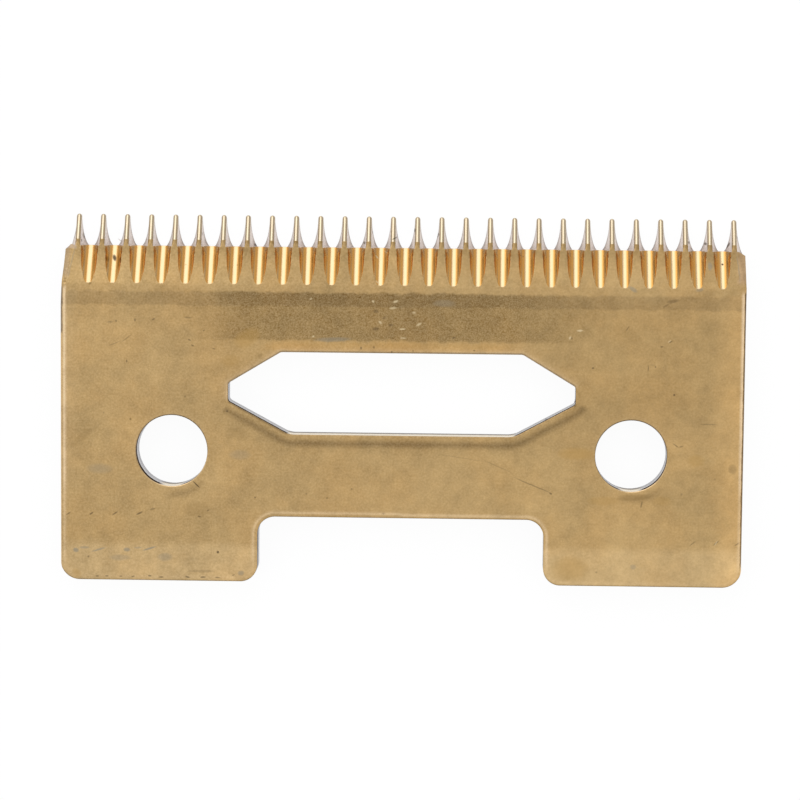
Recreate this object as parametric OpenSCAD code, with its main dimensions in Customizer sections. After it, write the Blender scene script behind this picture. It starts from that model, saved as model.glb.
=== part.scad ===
// Fixed blade of a hair clipper: one flat piece of spring steel with a comb of
// fluted teeth along the front edge, two screw holes, a long six-sided window
// and two feet at the heel. It lies on its cutting face with the outer face up.
// Lengths are in millimetres. Places along the blade are measured from the heel.

/* [Body] */
// Width of the body across its two long sides
body_width = 46; // [42:0.1:52]
// Length from the heel to the tips of the teeth
blade_length = 24.7; // [24:0.1:28]
// Thickness of the flat body
thickness = 2; // [1.8:0.05:2.6]
// Rounding along the outer edges of the two sides
side_round = 0.25; // [0.1:0.01:0.5]
// How much narrower each side is at the front corner
front_taper = 0.08; // [0.02:0.01:0.2]
// How far each front corner is cut off across the blade
corner_run = 0.4; // [0.2:0.01:0.45]
// How far each front corner is cut off along the blade
corner_drop = 0.33; // [0.2:0.01:0.6]

/* [Teeth] */
// Number of teeth in the comb
tooth_count = 28; // [24:1:30]
// Width of a tooth along its ridge
ridge_width = 0.34; // [0.25:0.01:0.45]
// Height of a tooth at its tip
tip_height = 0.14; // [0.1:0.01:0.3]
// Length of the steep bevel that runs back from the tips
tip_bevel_length = 1.67; // [1.2:0.01:2]
// Height of a tooth where the steep bevel ends
tip_bevel_height = 0.92; // [0.7:0.01:1.1]
// Distance from the tips to the break between the front bevel and the flat body
front_bevel_length = 5; // [4.7:0.05:5.6]
// Depth of the gaps between the teeth, from the tips to their roots
gap_length = 2.16; // [1.8:0.01:2.4]
// How far the floor of a gap lies under the cutting face at its root
gap_root_drop = 0.03; // [0.02:0.005:0.08]

/* [Flutes] */
// Distance from the tips to the blind ends of the flutes
flute_reach = 4.6; // [4.2:0.05:4.65]
// How much smaller the radius of a flute is than half the width of a gap
flute_inset = 0.09; // [0.04:0.01:0.15]
// Height of the floor of a flute at the root of the teeth
flute_root_height = 0.36; // [0.3:0.01:0.5]
// Depth of a flute at its blind end
flute_end_depth = 0.12; // [0.05:0.01:0.2]

/* [Screw holes] */
// Distance between the centres of the two screw holes
hole_spacing = 30.94; // [28:0.01:33]
// Radius of a screw hole
hole_radius = 2.41; // [1.8:0.01:2.8]
// Distance from the heel to the centres of the screw holes
hole_from_heel = 8.86; // [8:0.01:10]
// Width of the broken edge round each screw hole
hole_edge_break = 0.1; // [0.05:0.01:0.2]

/* [Window] */
// Length of the window between its two ends
window_length = 23.4; // [20:0.1:24]
// Distance from the heel to the lower edge of the window
window_low = 9.98; // [9:0.01:11]
// Distance from the heel to the upper edge of the window
window_high = 15.6; // [14.8:0.01:17]
// Length of the upper edge of the window
window_upper_edge = 16.25; // [14:0.05:18]
// Length of the lower edge of the window
window_lower_edge = 15.15; // [13:0.05:18]
// Length of the short edge at each end of the window
window_end_edge = 1.2; // [0.8:0.05:2]
// Distance from the lower edge of the window to the middle of its ends
window_end_rise = 2.87; // [2.4:0.01:3.2]
// Corner radius at the two ends of the window
window_end_radius = 0.3; // [0.1:0.05:0.6]
// Corner radius along the upper edge of the window
window_upper_radius = 0.5; // [0.2:0.05:1.5]
// Corner radius along the lower edge of the window
window_lower_radius = 1.6; // [0.5:0.05:3]

/* [Heel] */
// Width of the notch between the two feet
notch_width = 19.33; // [16:0.01:22]
// Depth of the notch between the two feet
notch_depth = 4.46; // [3:0.01:5]
// Radius in the inner corners of the notch
notch_radius = 1.2; // [0.6:0.05:1.8]
// Corner radius at the outer corners of the feet
foot_outer_radius = 1.3; // [0.6:0.05:1.8]
// Corner radius at the inner corners of the feet
foot_inner_radius = 1.15; // [0.6:0.05:1.5]
// Length of the slight fall towards the heel
heel_fall_length = 2.4; // [1.5:0.1:3]
// How much the outer face falls at the heel
heel_fall = 0.1; // [0.04:0.01:0.2]

/* [Cutting face] */
// Depth of the ground relief in the cutting face
relief_depth = 0.08; // [0.04:0.01:0.15]
// Length of the flat land at the heel
heel_land = 4.9; // [4.7:0.1:5.8]
// Length of the flat land behind the tips of the teeth
front_land = 4.2; // [3.6:0.1:4.8]
// Length of the slope at each end of the relief
relief_ramp = 0.8; // [0.4:0.1:1.2]

/* [Hidden] */

// Facets on a full turn
round_facets = 64;
// How far a cut runs past the faces that it opens
overrun = 1;

// Half the width of the body, and the spacing of the teeth that fills it
half_width = body_width / 2;
front_half_width = half_width - front_taper;
// How far each side lies outside the middle of the outermost gap
side_margin = 0.11;
tooth_pitch = (body_width - 2 * side_margin) / tooth_count;
gap_radius = (tooth_pitch - ridge_width) / 2;
flute_radius = gap_radius - flute_inset;
tip_radius = ridge_width / 2;

// Places along the blade, from the heel
root_y = blade_length - gap_length;
bevel_break_y = blade_length - front_bevel_length;
tip_break_y = blade_length - tip_bevel_length;
flute_end_y = blade_length - flute_reach;
window_end_y = window_low + window_end_rise;

// Slope of the front bevel, and the height of the outer face on it
front_fall = thickness - tip_bevel_height;
front_slope = front_fall / (tip_break_y - bevel_break_y);
flute_end_z = thickness - front_slope * (flute_end_y - bevel_break_y) - flute_end_depth;

// Slopes of the floors of the flutes and the gaps
flute_run = root_y - flute_end_y;
flute_angle = atan2(flute_end_z - flute_root_height, flute_run);
gap_angle = atan2(gap_radius - gap_root_drop, gap_length);

// The finishes, as the photograph shows them
gold = [0.75, 0.62, 0.38];

// Tangent points and centre of an arc that rounds corner b between a and c
function toward(from, to) = (to - from) / norm(to - from);
function corner_angle(a, b, c) = acos(toward(b, a) * toward(b, c));
function corner_run(a, b, c, r) = r / tan(corner_angle(a, b, c) / 2);
function corner_start(a, b, c, r) = b + toward(b, a) * corner_run(a, b, c, r);
function corner_end(a, b, c, r) = b + toward(b, c) * corner_run(a, b, c, r);
function corner_reach(a, b, c, r) = r / sin(corner_angle(a, b, c) / 2);
function corner_middle(a, b, c) = toward([0, 0], toward(b, a) + toward(b, c));
function corner_centre(a, b, c, r) = b + corner_middle(a, b, c) * corner_reach(a, b, c, r);

// A convex outline whose corners are rounded, each with its own radius
module rounded_outline(corners, radii) {
    count = len(corners);
    before = [for (i = [0 : count - 1]) corners[(i + count - 1) % count]];
    after = [for (i = [0 : count - 1]) corners[(i + 1) % count]];
    polygon([
        for (i = [0 : count - 1])
            for (side = [0, 1])
                side == 0
                    ? corner_start(before[i], corners[i], after[i], radii[i])
                    : corner_end(before[i], corners[i], after[i], radii[i])
    ]);
    for (i = [0 : count - 1])
        translate(corner_centre(before[i], corners[i], after[i], radii[i]))
            circle(r = radii[i], $fn = round_facets);
}

// What is cut off a square corner at the origin to round it
module corner_waste(radius) {
    difference() {
        translate([-overrun, -overrun])
            square([radius + overrun, radius + overrun]);
        translate([radius, radius])
            circle(r = radius, $fn = round_facets);
    }
}

// The notch between the feet, with its inner corners filled to a radius
module notch_outline() {
    difference() {
        translate([-notch_width / 2, -overrun])
            square([notch_width, notch_depth + overrun]);
        for (side = [0, 1])
            mirror([side, 0])
                translate([notch_width / 2, notch_depth])
                    rotate(180)
                        corner_waste(notch_radius);
    }
}

// The six-sided window, seen from above
module window_outline() {
    end_x = window_length / 2;
    upper_x = window_upper_edge / 2;
    lower_x = window_lower_edge / 2;
    end_high = window_end_y + window_end_edge / 2;
    end_low = window_end_y - window_end_edge / 2;
    rounded_outline(
        [
            [-lower_x, window_low],
            [lower_x, window_low],
            [end_x, end_low],
            [end_x, end_high],
            [upper_x, window_high],
            [-upper_x, window_high],
            [-end_x, end_high],
            [-end_x, end_low]
        ],
        [
            window_lower_radius,
            window_lower_radius,
            window_end_radius,
            window_end_radius,
            window_upper_radius,
            window_upper_radius,
            window_end_radius,
            window_end_radius
        ]
    );
}

// The whole blade seen from above: the body, its feet and the round tips
module plan_outline() {
    front_y = blade_length - tip_radius;
    difference() {
        union() {
            polygon([
                [-half_width, 0],
                [half_width, 0],
                [half_width, bevel_break_y],
                [front_half_width, root_y - corner_drop],
                [front_half_width - corner_run, root_y],
                [front_half_width - corner_run, front_y],
                [corner_run - front_half_width, front_y],
                [corner_run - front_half_width, root_y],
                [-front_half_width, root_y - corner_drop],
                [-half_width, bevel_break_y]
            ]);
            for (i = [0 : tooth_count - 1])
                translate([(i - (tooth_count - 1) / 2) * tooth_pitch, front_y])
                    circle(r = tip_radius, $fn = round_facets);
        }
        notch_outline();
        for (side = [0, 1])
            mirror([side, 0]) {
                translate([-half_width, 0])
                    corner_waste(foot_outer_radius);
                translate([-notch_width / 2, 0])
                    mirror([1, 0])
                        corner_waste(foot_inner_radius);
            }
    }
}

// The blade seen from the side: length across, height up
module side_outline() {
    relief_end = blade_length - front_land;
    polygon([
        [0, 0],
        [heel_land, 0],
        [heel_land + relief_ramp, relief_depth],
        [relief_end - relief_ramp, relief_depth],
        [relief_end, 0],
        [blade_length, 0],
        [blade_length, tip_height],
        [tip_break_y, tip_bevel_height],
        [bevel_break_y, thickness],
        [heel_fall_length, thickness],
        [0, thickness - heel_fall]
    ]);
}

// The body seen from the front, with its two outer edges rounded
module front_outline() {
    difference() {
        translate([-half_width, 0])
            square([body_width, thickness]);
        for (side = [0, 1])
            mirror([side, 0])
                translate([-half_width, thickness])
                    mirror([0, 1])
                        corner_waste(side_round);
    }
}

// The plate before the teeth are cut
module blank() {
    intersection() {
        linear_extrude(height = thickness)
            plan_outline();
        translate([-half_width - overrun, 0, 0])
            rotate([90, 0, 90])
                linear_extrude(height = body_width + 2 * overrun)
                    side_outline();
        translate([0, blade_length + overrun, 0])
            rotate([90, 0, 0])
                linear_extrude(height = blade_length + 2 * overrun)
                    front_outline();
    }
}

// One round-ended flute. Its ball end lies at the origin and it runs to +Y and down.
module flute_cut() {
    length = (flute_run + gap_length) / cos(flute_angle);
    rotate([-flute_angle, 0, 0])
        translate([0, 0, flute_radius])
            rotate([-90, 0, 0])
                rotate_extrude($fn = round_facets)
                    intersection() {
                        union() {
                            square([flute_radius, length]);
                            circle(r = flute_radius, $fn = round_facets);
                        }
                        translate([0, -flute_radius])
                            square([flute_radius, length + flute_radius]);
                    }
}

// The row of flutes, one between each pair of teeth
module flutes() {
    for (i = [1 : tooth_count - 1])
        translate([(i - tooth_count / 2) * tooth_pitch, flute_end_y, flute_end_z])
            flute_cut();
}

// One gap: a slot with a round floor that runs from its root to +Y and down
module gap_cut() {
    length = (gap_length + overrun) / cos(gap_angle);
    rotate([-gap_angle, 0, 0])
        translate([0, length, gap_radius])
            rotate([90, 0, 0])
                linear_extrude(height = 2 * length) {
                    circle(r = gap_radius, $fn = round_facets);
                    translate([-gap_radius, 0])
                        square([2 * gap_radius, thickness]);
                }
}

// The row of gaps, all ended by one upright face at the roots of the teeth
module gaps() {
    reach = body_width + 2 * overrun;
    intersection() {
        union() {
            for (i = [0 : tooth_count])
                translate([(i - tooth_count / 2) * tooth_pitch, root_y, -gap_root_drop])
                    gap_cut();
        }
        translate([-reach / 2, root_y, -thickness])
            cube([reach, gap_length + overrun, 3 * thickness]);
    }
}

// A screw hole through the body, with its outer edge broken
module screw_hole() {
    translate([0, 0, -overrun])
        cylinder(r = hole_radius, h = thickness + 2 * overrun, $fn = round_facets);
    translate([0, 0, thickness - hole_edge_break])
        cylinder(
            r1 = hole_radius,
            r2 = hole_radius + hole_edge_break + overrun,
            h = hole_edge_break + overrun,
            $fn = round_facets
        );
}

// The finished blade, with its origin under the middle of its length and width
module comb_blade() {
    color(gold)
        translate([0, -blade_length / 2, 0])
            difference() {
                blank();
                flutes();
                gaps();
                translate([0, 0, -overrun])
                    linear_extrude(height = thickness + 2 * overrun)
                        window_outline();
                for (side = [-1, 1])
                    translate([side * hole_spacing / 2, hole_from_heel, 0])
                        screw_hole();
            }
}

comb_blade();
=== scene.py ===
"""Looks of a gold-coated comb blade for a hair clipper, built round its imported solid.

Shapes are worked out in millimetres and turned to metres when a mesh is made. A place
across the blade is its distance from the middle, and a place along it is its distance
from the heel.
"""

import logging
import math
from dataclasses import dataclass
from enum import Enum
from typing import Callable, ClassVar

import bmesh
import bpy
import numpy as np
from mathutils import Matrix, Vector
from mathutils.geometry import delaunay_2d_cdt


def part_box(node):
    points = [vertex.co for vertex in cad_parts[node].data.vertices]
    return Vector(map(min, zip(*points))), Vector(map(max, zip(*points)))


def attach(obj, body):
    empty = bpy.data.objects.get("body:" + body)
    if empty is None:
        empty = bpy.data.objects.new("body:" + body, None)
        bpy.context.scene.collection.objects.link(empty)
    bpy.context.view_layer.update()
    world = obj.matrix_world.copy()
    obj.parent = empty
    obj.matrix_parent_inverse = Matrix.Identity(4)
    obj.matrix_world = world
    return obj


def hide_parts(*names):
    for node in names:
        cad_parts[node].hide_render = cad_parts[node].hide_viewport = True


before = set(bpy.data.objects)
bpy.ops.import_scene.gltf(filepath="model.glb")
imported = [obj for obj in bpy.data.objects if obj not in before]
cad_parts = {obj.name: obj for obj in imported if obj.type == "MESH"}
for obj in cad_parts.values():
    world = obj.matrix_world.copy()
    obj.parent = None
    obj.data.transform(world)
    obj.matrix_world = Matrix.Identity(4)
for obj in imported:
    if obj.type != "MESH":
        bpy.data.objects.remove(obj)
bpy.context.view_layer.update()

LOG = logging.getLogger("blade")
NODE = "comb_blade"
BODY = "root"
MM = 0.001
WELD = 0.0002
# Mesh attributes for painted light and shade by the cut edges: a painted highlight that is partly worn
# bright, a painted shadow line at the lip, and a painted band of shade.
EDGE_SHEEN_AND_RUBBING = "edge_sheen_and_rubbing"
EDGE_LIP_SHADOW = "edge_lip_shadow"
EDGE_SHADE_BAND = "edge_shade_band"
PLAN_TOLERANCE = 1e-7
Measure = Callable[[np.ndarray], np.ndarray]


class Finish(Enum):
    """The finishes of the blade. The value is the material slot."""

    SATIN = 0
    BRIGHT = 1
    RIDGE = 2
    CUT = 3
    GROUND = 4


@dataclass(frozen=True)
class BladeSizes:
    """Sizes of the blade in millimetres. Places along it count from the heel."""

    width: float
    length: float
    thickness: float
    side_round: float = 0.25
    front_taper: float = 0.08
    corner_run: float = 0.4
    corner_drop: float = 0.25
    corner_lift: float = 0.09
    left_rub: float = 0.17
    tooth_count: int = 28
    side_margin: float = 0.11
    comb_shift: float = 0.125
    ridge_width: float = 0.34
    tip_height: float = 0.14
    tip_bevel_length: float = 1.67
    tip_bevel_height: float = 0.92
    front_bevel_length: float = 5.0
    gap_length: float = 2.1
    gap_root_drop: float = 0.03
    flute_reach: float = 4.6
    flute_inset: float = 0.107
    flute_root_height: float = 0.36
    hole_spacing: float = 30.94
    hole_radius: float = 2.41
    hole_from_heel: float = 8.86
    window_length: float = 23.4
    window_low: float = 10.04
    window_high: float = 15.6
    window_upper_edge: float = 16.25
    window_lower_edge: float = 15.15
    window_end_edge: float = 1.2
    window_end_rise: float = 2.81
    window_end_radius: float = 0.3
    window_upper_radius: float = 0.5
    window_lower_radius: float = 1.6
    notch_width: float = 19.33
    notch_depth: float = 4.46
    notch_radius: float = 1.2
    foot_outer_radius: float = 1.3
    foot_inner_radius: float = 1.15
    heel_fall_length: float = 2.4
    heel_fall: float = 0.1
    relief_depth: float = 0.08
    heel_land: float = 4.9
    front_land: float = 4.2
    relief_ramp: float = 0.8

    @classmethod
    def from_frame(cls) -> "BladeSizes":
        """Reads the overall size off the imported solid.

        Returns:
            The sizes, with the overall ones taken from the frame.
        """
        low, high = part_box(NODE)
        width, length, thickness = ((b - a) / MM for a, b in zip(low, high))
        return cls(width=width, length=length, thickness=thickness)

    @property
    def half_width(self) -> float:
        """Half the width of the body."""
        return self.width / 2

    @property
    def root(self) -> float:
        """Where the teeth leave the body."""
        return self.length - self.gap_length

    @property
    def bevel_break(self) -> float:
        """Where the flat body turns into the front bevel."""
        return self.length - self.front_bevel_length

    @property
    def tip_break(self) -> float:
        """Where the front bevel turns into the steeper bevel of the tips."""
        return self.length - self.tip_bevel_length

    @property
    def flute_end(self) -> float:
        """Where the floor of a flute ends."""
        return self.length - self.flute_reach

    @property
    def front_slope(self) -> float:
        """Slope of the front bevel."""
        return (self.thickness - self.tip_bevel_height) / (self.tip_break - self.bevel_break)

    @property
    def tip_slope(self) -> float:
        """Slope of the steep bevel at the tips."""
        return (self.tip_bevel_height - self.tip_height) / self.tip_bevel_length

    @property
    def pitch(self) -> float:
        """Distance from tooth to tooth."""
        return (self.width - 2 * self.side_margin) / self.tooth_count

    @property
    def gap_radius(self) -> float:
        """Half the width of a gap."""
        return (self.pitch - self.ridge_width) / 2

    @property
    def flute_radius(self) -> float:
        """Radius of a flute."""
        return self.gap_radius - self.flute_inset

    @property
    def tip_radius(self) -> float:
        """Radius of a tip seen from above."""
        return self.ridge_width / 2

    @property
    def gap_angle(self) -> float:
        """Slope of a gap's floor, in radians."""
        return math.atan2(self.gap_radius - self.gap_root_drop, self.gap_length)


def smooth_step(low: float, high: float, value: np.ndarray) -> np.ndarray:
    """Rises smoothly from 0 to 1."""
    share = np.clip((value - low) / (high - low), 0.0, 1.0)
    return share * share * (3 - 2 * share)


def smooth_lower(first: np.ndarray, second: np.ndarray, blend: float) -> np.ndarray:
    """Takes the lower of two heights, with the break between them rounded."""
    share = np.clip(0.5 + 0.5 * (second - first) / blend, 0.0, 1.0)
    return second * (1 - share) + first * share - blend * share * (1 - share)


@dataclass(frozen=True)
class Corner:
    """A corner of a plan outline and the radius that rounds it."""

    across: float
    along: float
    radius: float = 0.0


class PlanPath:
    """A line in the plan that keeps the steel on its left."""

    ARC_STEP = math.radians(3)

    def __init__(self, corners: list[Corner], closed: bool, step: float, stops: list[float]) -> None:
        """Rounds the corners and spaces points along the line.

        Args:
            corners: The corners in order.
            closed: Whether the last corner joins the first.
            step: Longest distance between points on a straight stretch.
            stops: Places along the blade where a straight stretch gets a point as well.
        """
        self.closed = closed
        self.step = step
        self.stops = stops
        self._points: list[np.ndarray] = []
        self._outward: list[np.ndarray] = []
        places = [np.array([c.across, c.along]) for c in corners]
        count = len(corners)
        for i, corner in enumerate(corners):
            if closed or 0 < i < count - 1:
                self._round(places[i - 1], places[i], places[(i + 1) % count], corner.radius)
            else:
                self._end(places, i)
        if closed:
            self._straight(self._points[-1], self._points[0], at_end=True)
        self.points = np.array(self._points)
        self.outward = np.array(self._outward)

    @staticmethod
    def _side(direction: np.ndarray) -> np.ndarray:
        """Turns a direction of travel into the outward one on its right."""
        return np.array([direction[1], -direction[0]])

    def _end(self, places: list[np.ndarray], i: int) -> None:
        """Adds the first or last point of an open line."""
        j = i + 1 if i == 0 else i - 1
        travel = (places[j] - places[i]) * (1 if i == 0 else -1)
        if self._points:
            self._straight(self._points[-1], places[i], at_end=True)
        self._points.append(places[i])
        self._outward.append(self._side(travel / np.linalg.norm(travel)))

    def _straight(self, start: np.ndarray, end: np.ndarray, at_end: bool) -> None:
        """Adds the points between two ends of a straight stretch.

        Args:
            start: Where the stretch starts. It has its point already.
            end: Where it ends. Its point is added by the caller.
            at_end: Whether points very near the end are kept out.
        """
        span = end - start
        length = float(np.linalg.norm(span))
        count = max(1, math.ceil(length / self.step))
        shares = set((np.arange(1, count) / count).tolist())
        if abs(span[1]) > 1e-9:
            shares |= {(stop - start[1]) / span[1] for stop in self.stops}
        margin = 1e-3 / length if at_end else 0.0
        outward = self._side(span / length)
        for share in sorted(s for s in shares if margin < s < 1 - margin):
            self._points.append(start + span * share)
            self._outward.append(outward)

    def _round(self, before: np.ndarray, at: np.ndarray, after: np.ndarray, radius: float) -> None:
        """Adds one rounded corner and the straight stretch that leads to it.

        Args:
            before: The corner before it.
            at: The corner itself.
            after: The corner after it.
            radius: Radius of the corner.
        """
        back = (before - at) / np.linalg.norm(before - at)
        ahead = (after - at) / np.linalg.norm(after - at)
        angle = math.acos(float(np.clip(back @ ahead, -1, 1)))
        run = radius / math.tan(angle / 2)
        middle = back + ahead
        centre = at + middle / np.linalg.norm(middle) * radius / math.sin(angle / 2)
        start = at + back * run
        left_turn = back[1] * ahead[0] - back[0] * ahead[1] > 0
        if self._points:
            self._straight(self._points[-1], start, at_end=True)
        sweep = math.pi - angle
        count = max(2, math.ceil(sweep / self.ARC_STEP))
        spoke = (start - centre) / radius
        for k in range(count + 1):
            turn = sweep * k / count * (1 if left_turn else -1)
            cos, sin = math.cos(turn), math.sin(turn)
            ray = np.array([spoke[0] * cos - spoke[1] * sin, spoke[0] * sin + spoke[1] * cos])
            self._points.append(centre + ray * radius)
            self._outward.append(ray if left_turn else -ray)

    def inset(self, distance: float) -> np.ndarray:
        """The same line, moved into the steel."""
        return self.points - self.outward * distance

    def distance(self, plan: np.ndarray) -> np.ndarray:
        """How far places in the plan are from the line.

        Args:
            plan: The places, one in each row.

        Returns:
            The distance of each.
        """
        nearest = np.full(len(plan), np.inf)
        ends = np.roll(self.points, -1, axis=0) if self.closed else self.points[1:]
        for start, end in zip(self.points, ends):
            span = end - start
            share = np.clip((plan - start) @ span / (span @ span), 0, 1)
            away = plan - start - share[:, None] * span
            nearest = np.minimum(nearest, np.hypot(away[:, 0], away[:, 1]))
        return nearest


@dataclass(frozen=True)
class EdgeRoll:
    """How the outer face turns down to a punched edge.

    The lip is the tight turn at the edge itself. The pull is the wide shallow fall that
    the punch leaves round it.
    """

    lip_slope: float
    lip_reach: float
    pull_slope: float
    pull_reach: float

    def drop(self, distance: np.ndarray) -> np.ndarray:
        """How far the face has sunk at a distance from the edge."""
        lip = self.lip_slope * self.lip_reach * np.exp(-distance / self.lip_reach)
        left = np.clip(1 - distance / self.pull_reach, 0, 1)
        return lip + self.pull_slope * self.pull_reach / 2 * left * left


class Outlines:
    """The cut edges of the blade: its outline behind the teeth, the window and the holes."""

    STEP = 0.35
    HOLE_POINTS = 120
    BREAK_BEND = 3.0
    WALL_SHARES = (0.0, 0.12, 0.38, 0.8, 1.0)

    def __init__(self, sizes: BladeSizes, side_stops: list[float]) -> None:
        """Lays out the edges.

        Args:
            sizes: The blade's sizes.
            side_stops: Places along the sides that need a point.
        """
        self.sizes = sizes
        self.side_stops = side_stops
        self.outer = self._outer()
        self.window = self._window()
        self.holes = [self._hole(side) for side in (-1, 1)]

    @property
    def side_at_root(self) -> float:
        """Half the width of the blade where the teeth start."""
        return self.sizes.half_width - self.sizes.front_taper

    @property
    def all(self) -> list[PlanPath]:
        """Every cut edge."""
        return [self.outer, self.window, *self.holes]

    def _outer(self) -> PlanPath:
        """The outline from the left end of the comb round the feet to its right end."""
        s = self.sizes
        notch = s.notch_width / 2
        left = [
            Corner(-self.side_at_root, s.root),
            Corner(-s.half_width, s.bevel_break, self.BREAK_BEND),
            Corner(-s.half_width, 0, s.foot_outer_radius),
            Corner(-notch, 0, s.foot_inner_radius),
            Corner(-notch, s.notch_depth, s.notch_radius),
        ]
        right = [Corner(-c.across, c.along, c.radius) for c in reversed(left)]
        return PlanPath(left + right, False, self.STEP, self.side_stops)

    def _window(self) -> PlanPath:
        """The six-sided window with its blunt ends."""
        s = self.sizes
        end_middle = s.window_low + s.window_end_rise
        end_low = end_middle - s.window_end_edge / 2
        end_high = end_middle + s.window_end_edge / 2
        left = [
            Corner(-s.window_lower_edge / 2, s.window_low, s.window_lower_radius),
            Corner(-s.window_length / 2, end_low, s.window_end_radius),
            Corner(-s.window_length / 2, end_high, s.window_end_radius),
            Corner(-s.window_upper_edge / 2, s.window_high, s.window_upper_radius),
        ]
        right = [Corner(-c.across, c.along, c.radius) for c in reversed(left)]
        return PlanPath(left + right, True, self.STEP, [])

    def _hole(self, side: int) -> PlanPath:
        """One screw hole, as a line through points on its circle."""
        s = self.sizes
        middle = np.array([side * s.hole_spacing / 2, s.hole_from_heel])
        turns = -2 * math.pi * np.arange(self.HOLE_POINTS) / self.HOLE_POINTS
        spokes = np.column_stack([np.cos(turns), np.sin(turns)])
        path = PlanPath.__new__(PlanPath)
        path.closed = True
        path.points = middle + spokes * s.hole_radius
        path.outward = -spokes
        return path

    def hole_distance(self, plan: np.ndarray) -> np.ndarray:
        """How far places in the plan are from the nearer screw hole."""
        s = self.sizes
        across = np.abs(plan[:, 0]) - s.hole_spacing / 2
        return np.abs(np.hypot(across, plan[:, 1] - s.hole_from_heel) - s.hole_radius)


class OuterFace:
    """The height of the coated face over every place in the plan."""

    BREAK_BLEND = 0.1
    BREAK_ROLL = 0.05
    BREAK_ROLL_START = 0.9
    HEEL_BLEND = 0.012
    DIP = 0.07
    DIP_HALF_LENGTH = 15.0
    DIP_FADE = 5.0
    FLUTE_START = 20.12
    FLUTE_ENTRY = 0.02
    FLUTE_BLUNT = 0.05
    FACET_DEPTH = 0.05
    WINDOW_ROLL = EdgeRoll(1.0, 0.07, 0.11, 0.95)
    HOLE_ROLL = EdgeRoll(0.9, 0.05, 0.07, 0.8)
    OUTER_ROLL = EdgeRoll(0.8, 0.04, 0.035, 0.6)

    def __init__(self, sizes: BladeSizes, outlines: Outlines) -> None:
        """Keeps what the heights are worked out from.

        Args:
            sizes: The blade's sizes.
            outlines: Its cut edges.
        """
        self.sizes = sizes
        self.outlines = outlines

    def plate(self, along: np.ndarray) -> np.ndarray:
        """Height of the plate without its edges, flutes and dip."""
        s = self.sizes
        heel = s.thickness - s.heel_fall * (s.heel_fall_length - along) / s.heel_fall_length
        flat = smooth_lower(np.full_like(along, s.thickness), heel, self.HEEL_BLEND)
        run = np.clip(along - (s.bevel_break - self.BREAK_ROLL_START), 0, self.BREAK_ROLL_START)
        flat = flat - self.BREAK_ROLL * (run / self.BREAK_ROLL_START) ** 2
        bevel = s.thickness - s.front_slope * (along - s.bevel_break)
        return smooth_lower(flat, bevel, self.BREAK_BLEND)

    def dip(self, plan: np.ndarray) -> np.ndarray:
        """How far the thin bridge in front of the window hangs down."""
        s = self.sizes
        across, along = plan[:, 0], plan[:, 1]
        middle = 1 - smooth_step(
            self.DIP_HALF_LENGTH - self.DIP_FADE, self.DIP_HALF_LENGTH, np.abs(across)
        )
        rise = smooth_step(s.window_high, s.bevel_break - 0.3, along)
        back = 1 - smooth_step(s.bevel_break + 0.2, s.root - 0.5, along)
        return self.DIP * middle * rise * back

    def sides(self, across: np.ndarray) -> np.ndarray:
        """Height that the rounded sides leave."""
        s = self.sizes
        over = np.clip(np.abs(across) - (s.half_width - s.side_round), 0, s.side_round)
        return s.thickness - s.side_round + np.sqrt(s.side_round**2 - over**2)

    def edges(self, plan: np.ndarray) -> np.ndarray:
        """How far the face has sunk towards the cut edges."""
        s = self.sizes
        behind = 1 - smooth_step(s.bevel_break - 0.3, s.bevel_break + 0.4, plan[:, 1])
        outer = self.OUTER_ROLL.drop(self.outlines.outer.distance(plan)) * behind
        window = self.WINDOW_ROLL.drop(self.outlines.window.distance(plan))
        holes = self.HOLE_ROLL.drop(self.outlines.hole_distance(plan))
        return outer + window * behind + holes

    def flute_depth(self, along: np.ndarray) -> np.ndarray:
        """How deep the floor of a flute lies under the front bevel."""
        s = self.sizes
        length = s.root - self.FLUTE_START
        full = s.thickness - s.front_slope * (s.root - s.bevel_break) - s.flute_root_height
        run = np.clip(along - self.FLUTE_START, 0, None)
        blunt = self.FLUTE_ENTRY * (1 - np.exp(-run / self.FLUTE_BLUNT))
        return blunt + (full - self.FLUTE_ENTRY) / length * run

    def flute(self, off_middle: np.ndarray, along: np.ndarray) -> np.ndarray:
        """Height of a flute's round floor.

        Args:
            off_middle: Distance from the middle of the flute.
            along: Place along the blade.

        Returns:
            The height, or infinity beside the flute.
        """
        s = self.sizes
        bevel = s.thickness - s.front_slope * (along - s.bevel_break)
        inside = s.flute_radius**2 - off_middle**2
        rise = s.flute_radius - np.sqrt(np.clip(inside, 0, None))
        height = bevel - self.flute_depth(along) + rise
        return np.where((inside > 0) & (along > self.FLUTE_START), height, np.inf)

    def off_flute(self, across: np.ndarray) -> np.ndarray:
        """Distance from the middle of the nearest flute."""
        s = self.sizes
        shifted = (across - s.comb_shift) / s.pitch + s.tooth_count / 2
        number = np.clip(np.round(shifted), 0, s.tooth_count)
        return (shifted - number) * s.pitch

    def outermost(self, across: np.ndarray) -> np.ndarray:
        """Whether places across the blade lie beyond the middle of the last tooth."""
        s = self.sizes
        return np.abs(across - s.comb_shift) > (s.tooth_count - 1) / 2 * s.pitch

    def facet(self, off_middle: np.ndarray, along: np.ndarray) -> np.ndarray:
        """Height of the faint hollow beside each outermost tooth.

        Args:
            off_middle: Distance from the middle of the outermost gap.
            along: Place along the blade.

        Returns:
            The height, which is that of the bevel beside the hollow.
        """
        s = self.sizes
        bevel = s.thickness - s.front_slope * (along - s.bevel_break)
        share = np.clip((along - self.FLUTE_START) / (s.root - self.FLUTE_START), 1e-6, 1)
        inside = 1 - (off_middle / (s.gap_radius * share)) ** 2
        return bevel - self.FACET_DEPTH * np.clip(inside, 0, 1)

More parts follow.
